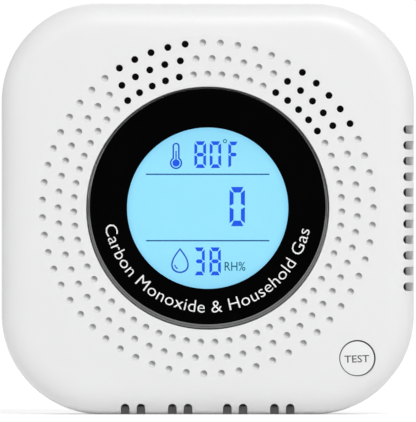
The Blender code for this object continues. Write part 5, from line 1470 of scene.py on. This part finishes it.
BLUE_DIP = new_finish("coated_ceramic", moulded, 0.3, {}, Colour=(0.03, 0.12, 0.42), Shade=(0.05, 0.16, 0.50),
                      Grain_Scale=900.0, Roughness=0.3)
RED_WIRE = new_finish("red_wire", moulded, 0.1, {}, Colour=(0.52, 0.02, 0.02), Shade=(0.42, 0.02, 0.02),
                      Roughness=0.4)
BLACK_WIRE = new_finish("black_wire", moulded, 0.1, {}, Colour=(0.012, 0.012, 0.012), Shade=(0.02, 0.02, 0.02),
                        Roughness=0.42)
fuse_low, fuse_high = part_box("fuse")
FUSE = capped("fuse_ceramic", fuse_low.x, fuse_high.x, 2.2 * MM,
              ((0.75, 0.78, 0.78), (0.66, 0.69, 0.70), (0.72, 0.75, 0.75)), ((0.70, 0.70, 0.68), (0.58, 0.58, 0.55)),
              0.12)
CARRIED = {
    BOARD: ("main_board", "power_board"),
    FOAM: ("lens_tape", "dust_screen_left", "dust_screen_right"),
    RUBBER: ("zebra_strip_upper", "zebra_strip_lower"),
    RIBBON: ("board_ribbon",),
    GUIDE: ("lcd_backlight",),
    WHITE: ("lcd_frame",),
    BLACK_PLASTIC: ("micro_chip", "humidity_sensor", "sounder_case", "switch_body", "switch_plunger",
                    "transformer", "output_capacitor", "battery_snap"),
    STEEL: ("gas_sensor", "co_sensor", "board_screw_1", "board_screw_2", "board_screw_3", "board_screw_4",
            "power_screw_1", "power_screw_2"),
    BRASS: ("sounder_disc",),
    FILM_BOX: ("mains_capacitor",),
    FUSE: ("fuse",),
    BLUE_DIP: ("varistor",),
    RED_WIRE: ("battery_lead_red",),
    BLACK_WIRE: ("battery_lead_black",),
}
given_a_finish = set()
for look, names in CARRIED.items():
    for name in names:
        piece = NODES[name]
        for place in piece.material_slots:
            place.material = look
        given_a_finish.add(name)
replaced = {"front_cover", "lens", "lcd_glass", "test_button", "rear_cover", "battery_door", "plug_block",
            "plug_blade_left", "plug_blade_right", "battery", "rating_label"}
replaced |= {f"case_screw_{number}" for number in range(1, 5)}
print("without a finish:", sorted(set(NODES) - given_a_finish - replaced))

# %% Floor
bpy.ops.object.select_all(action="DESELECT")
bpy.ops.mesh.primitive_circle_add(vertices=96, radius=1.1, fill_type="NGON", location=(0, 0.3, 0))
floor = bpy.context.object
floor.name = "floor"
floor_look = bpy.data.materials.new("floor")
floor_look.use_nodes = True
tree = floor_look.node_tree
shader = tree.nodes["Principled BSDF"]
shader.inputs["Base Color"].default_value = (0.82, 0.82, 0.82, 1)
shader.inputs["Roughness"].default_value = 0.9
shader.inputs["Emission Color"].default_value = (1, 1, 1, 1)
seen = tree.nodes.new("ShaderNodeLightPath").outputs["Is Camera Ray"]
seen = maths(tree, "MULTIPLY", seen, 0.22)
tree.links.new(maths(tree, "ADD", seen, 0.10), shader.inputs["Emission Strength"])
floor.data.materials.append(floor_look)
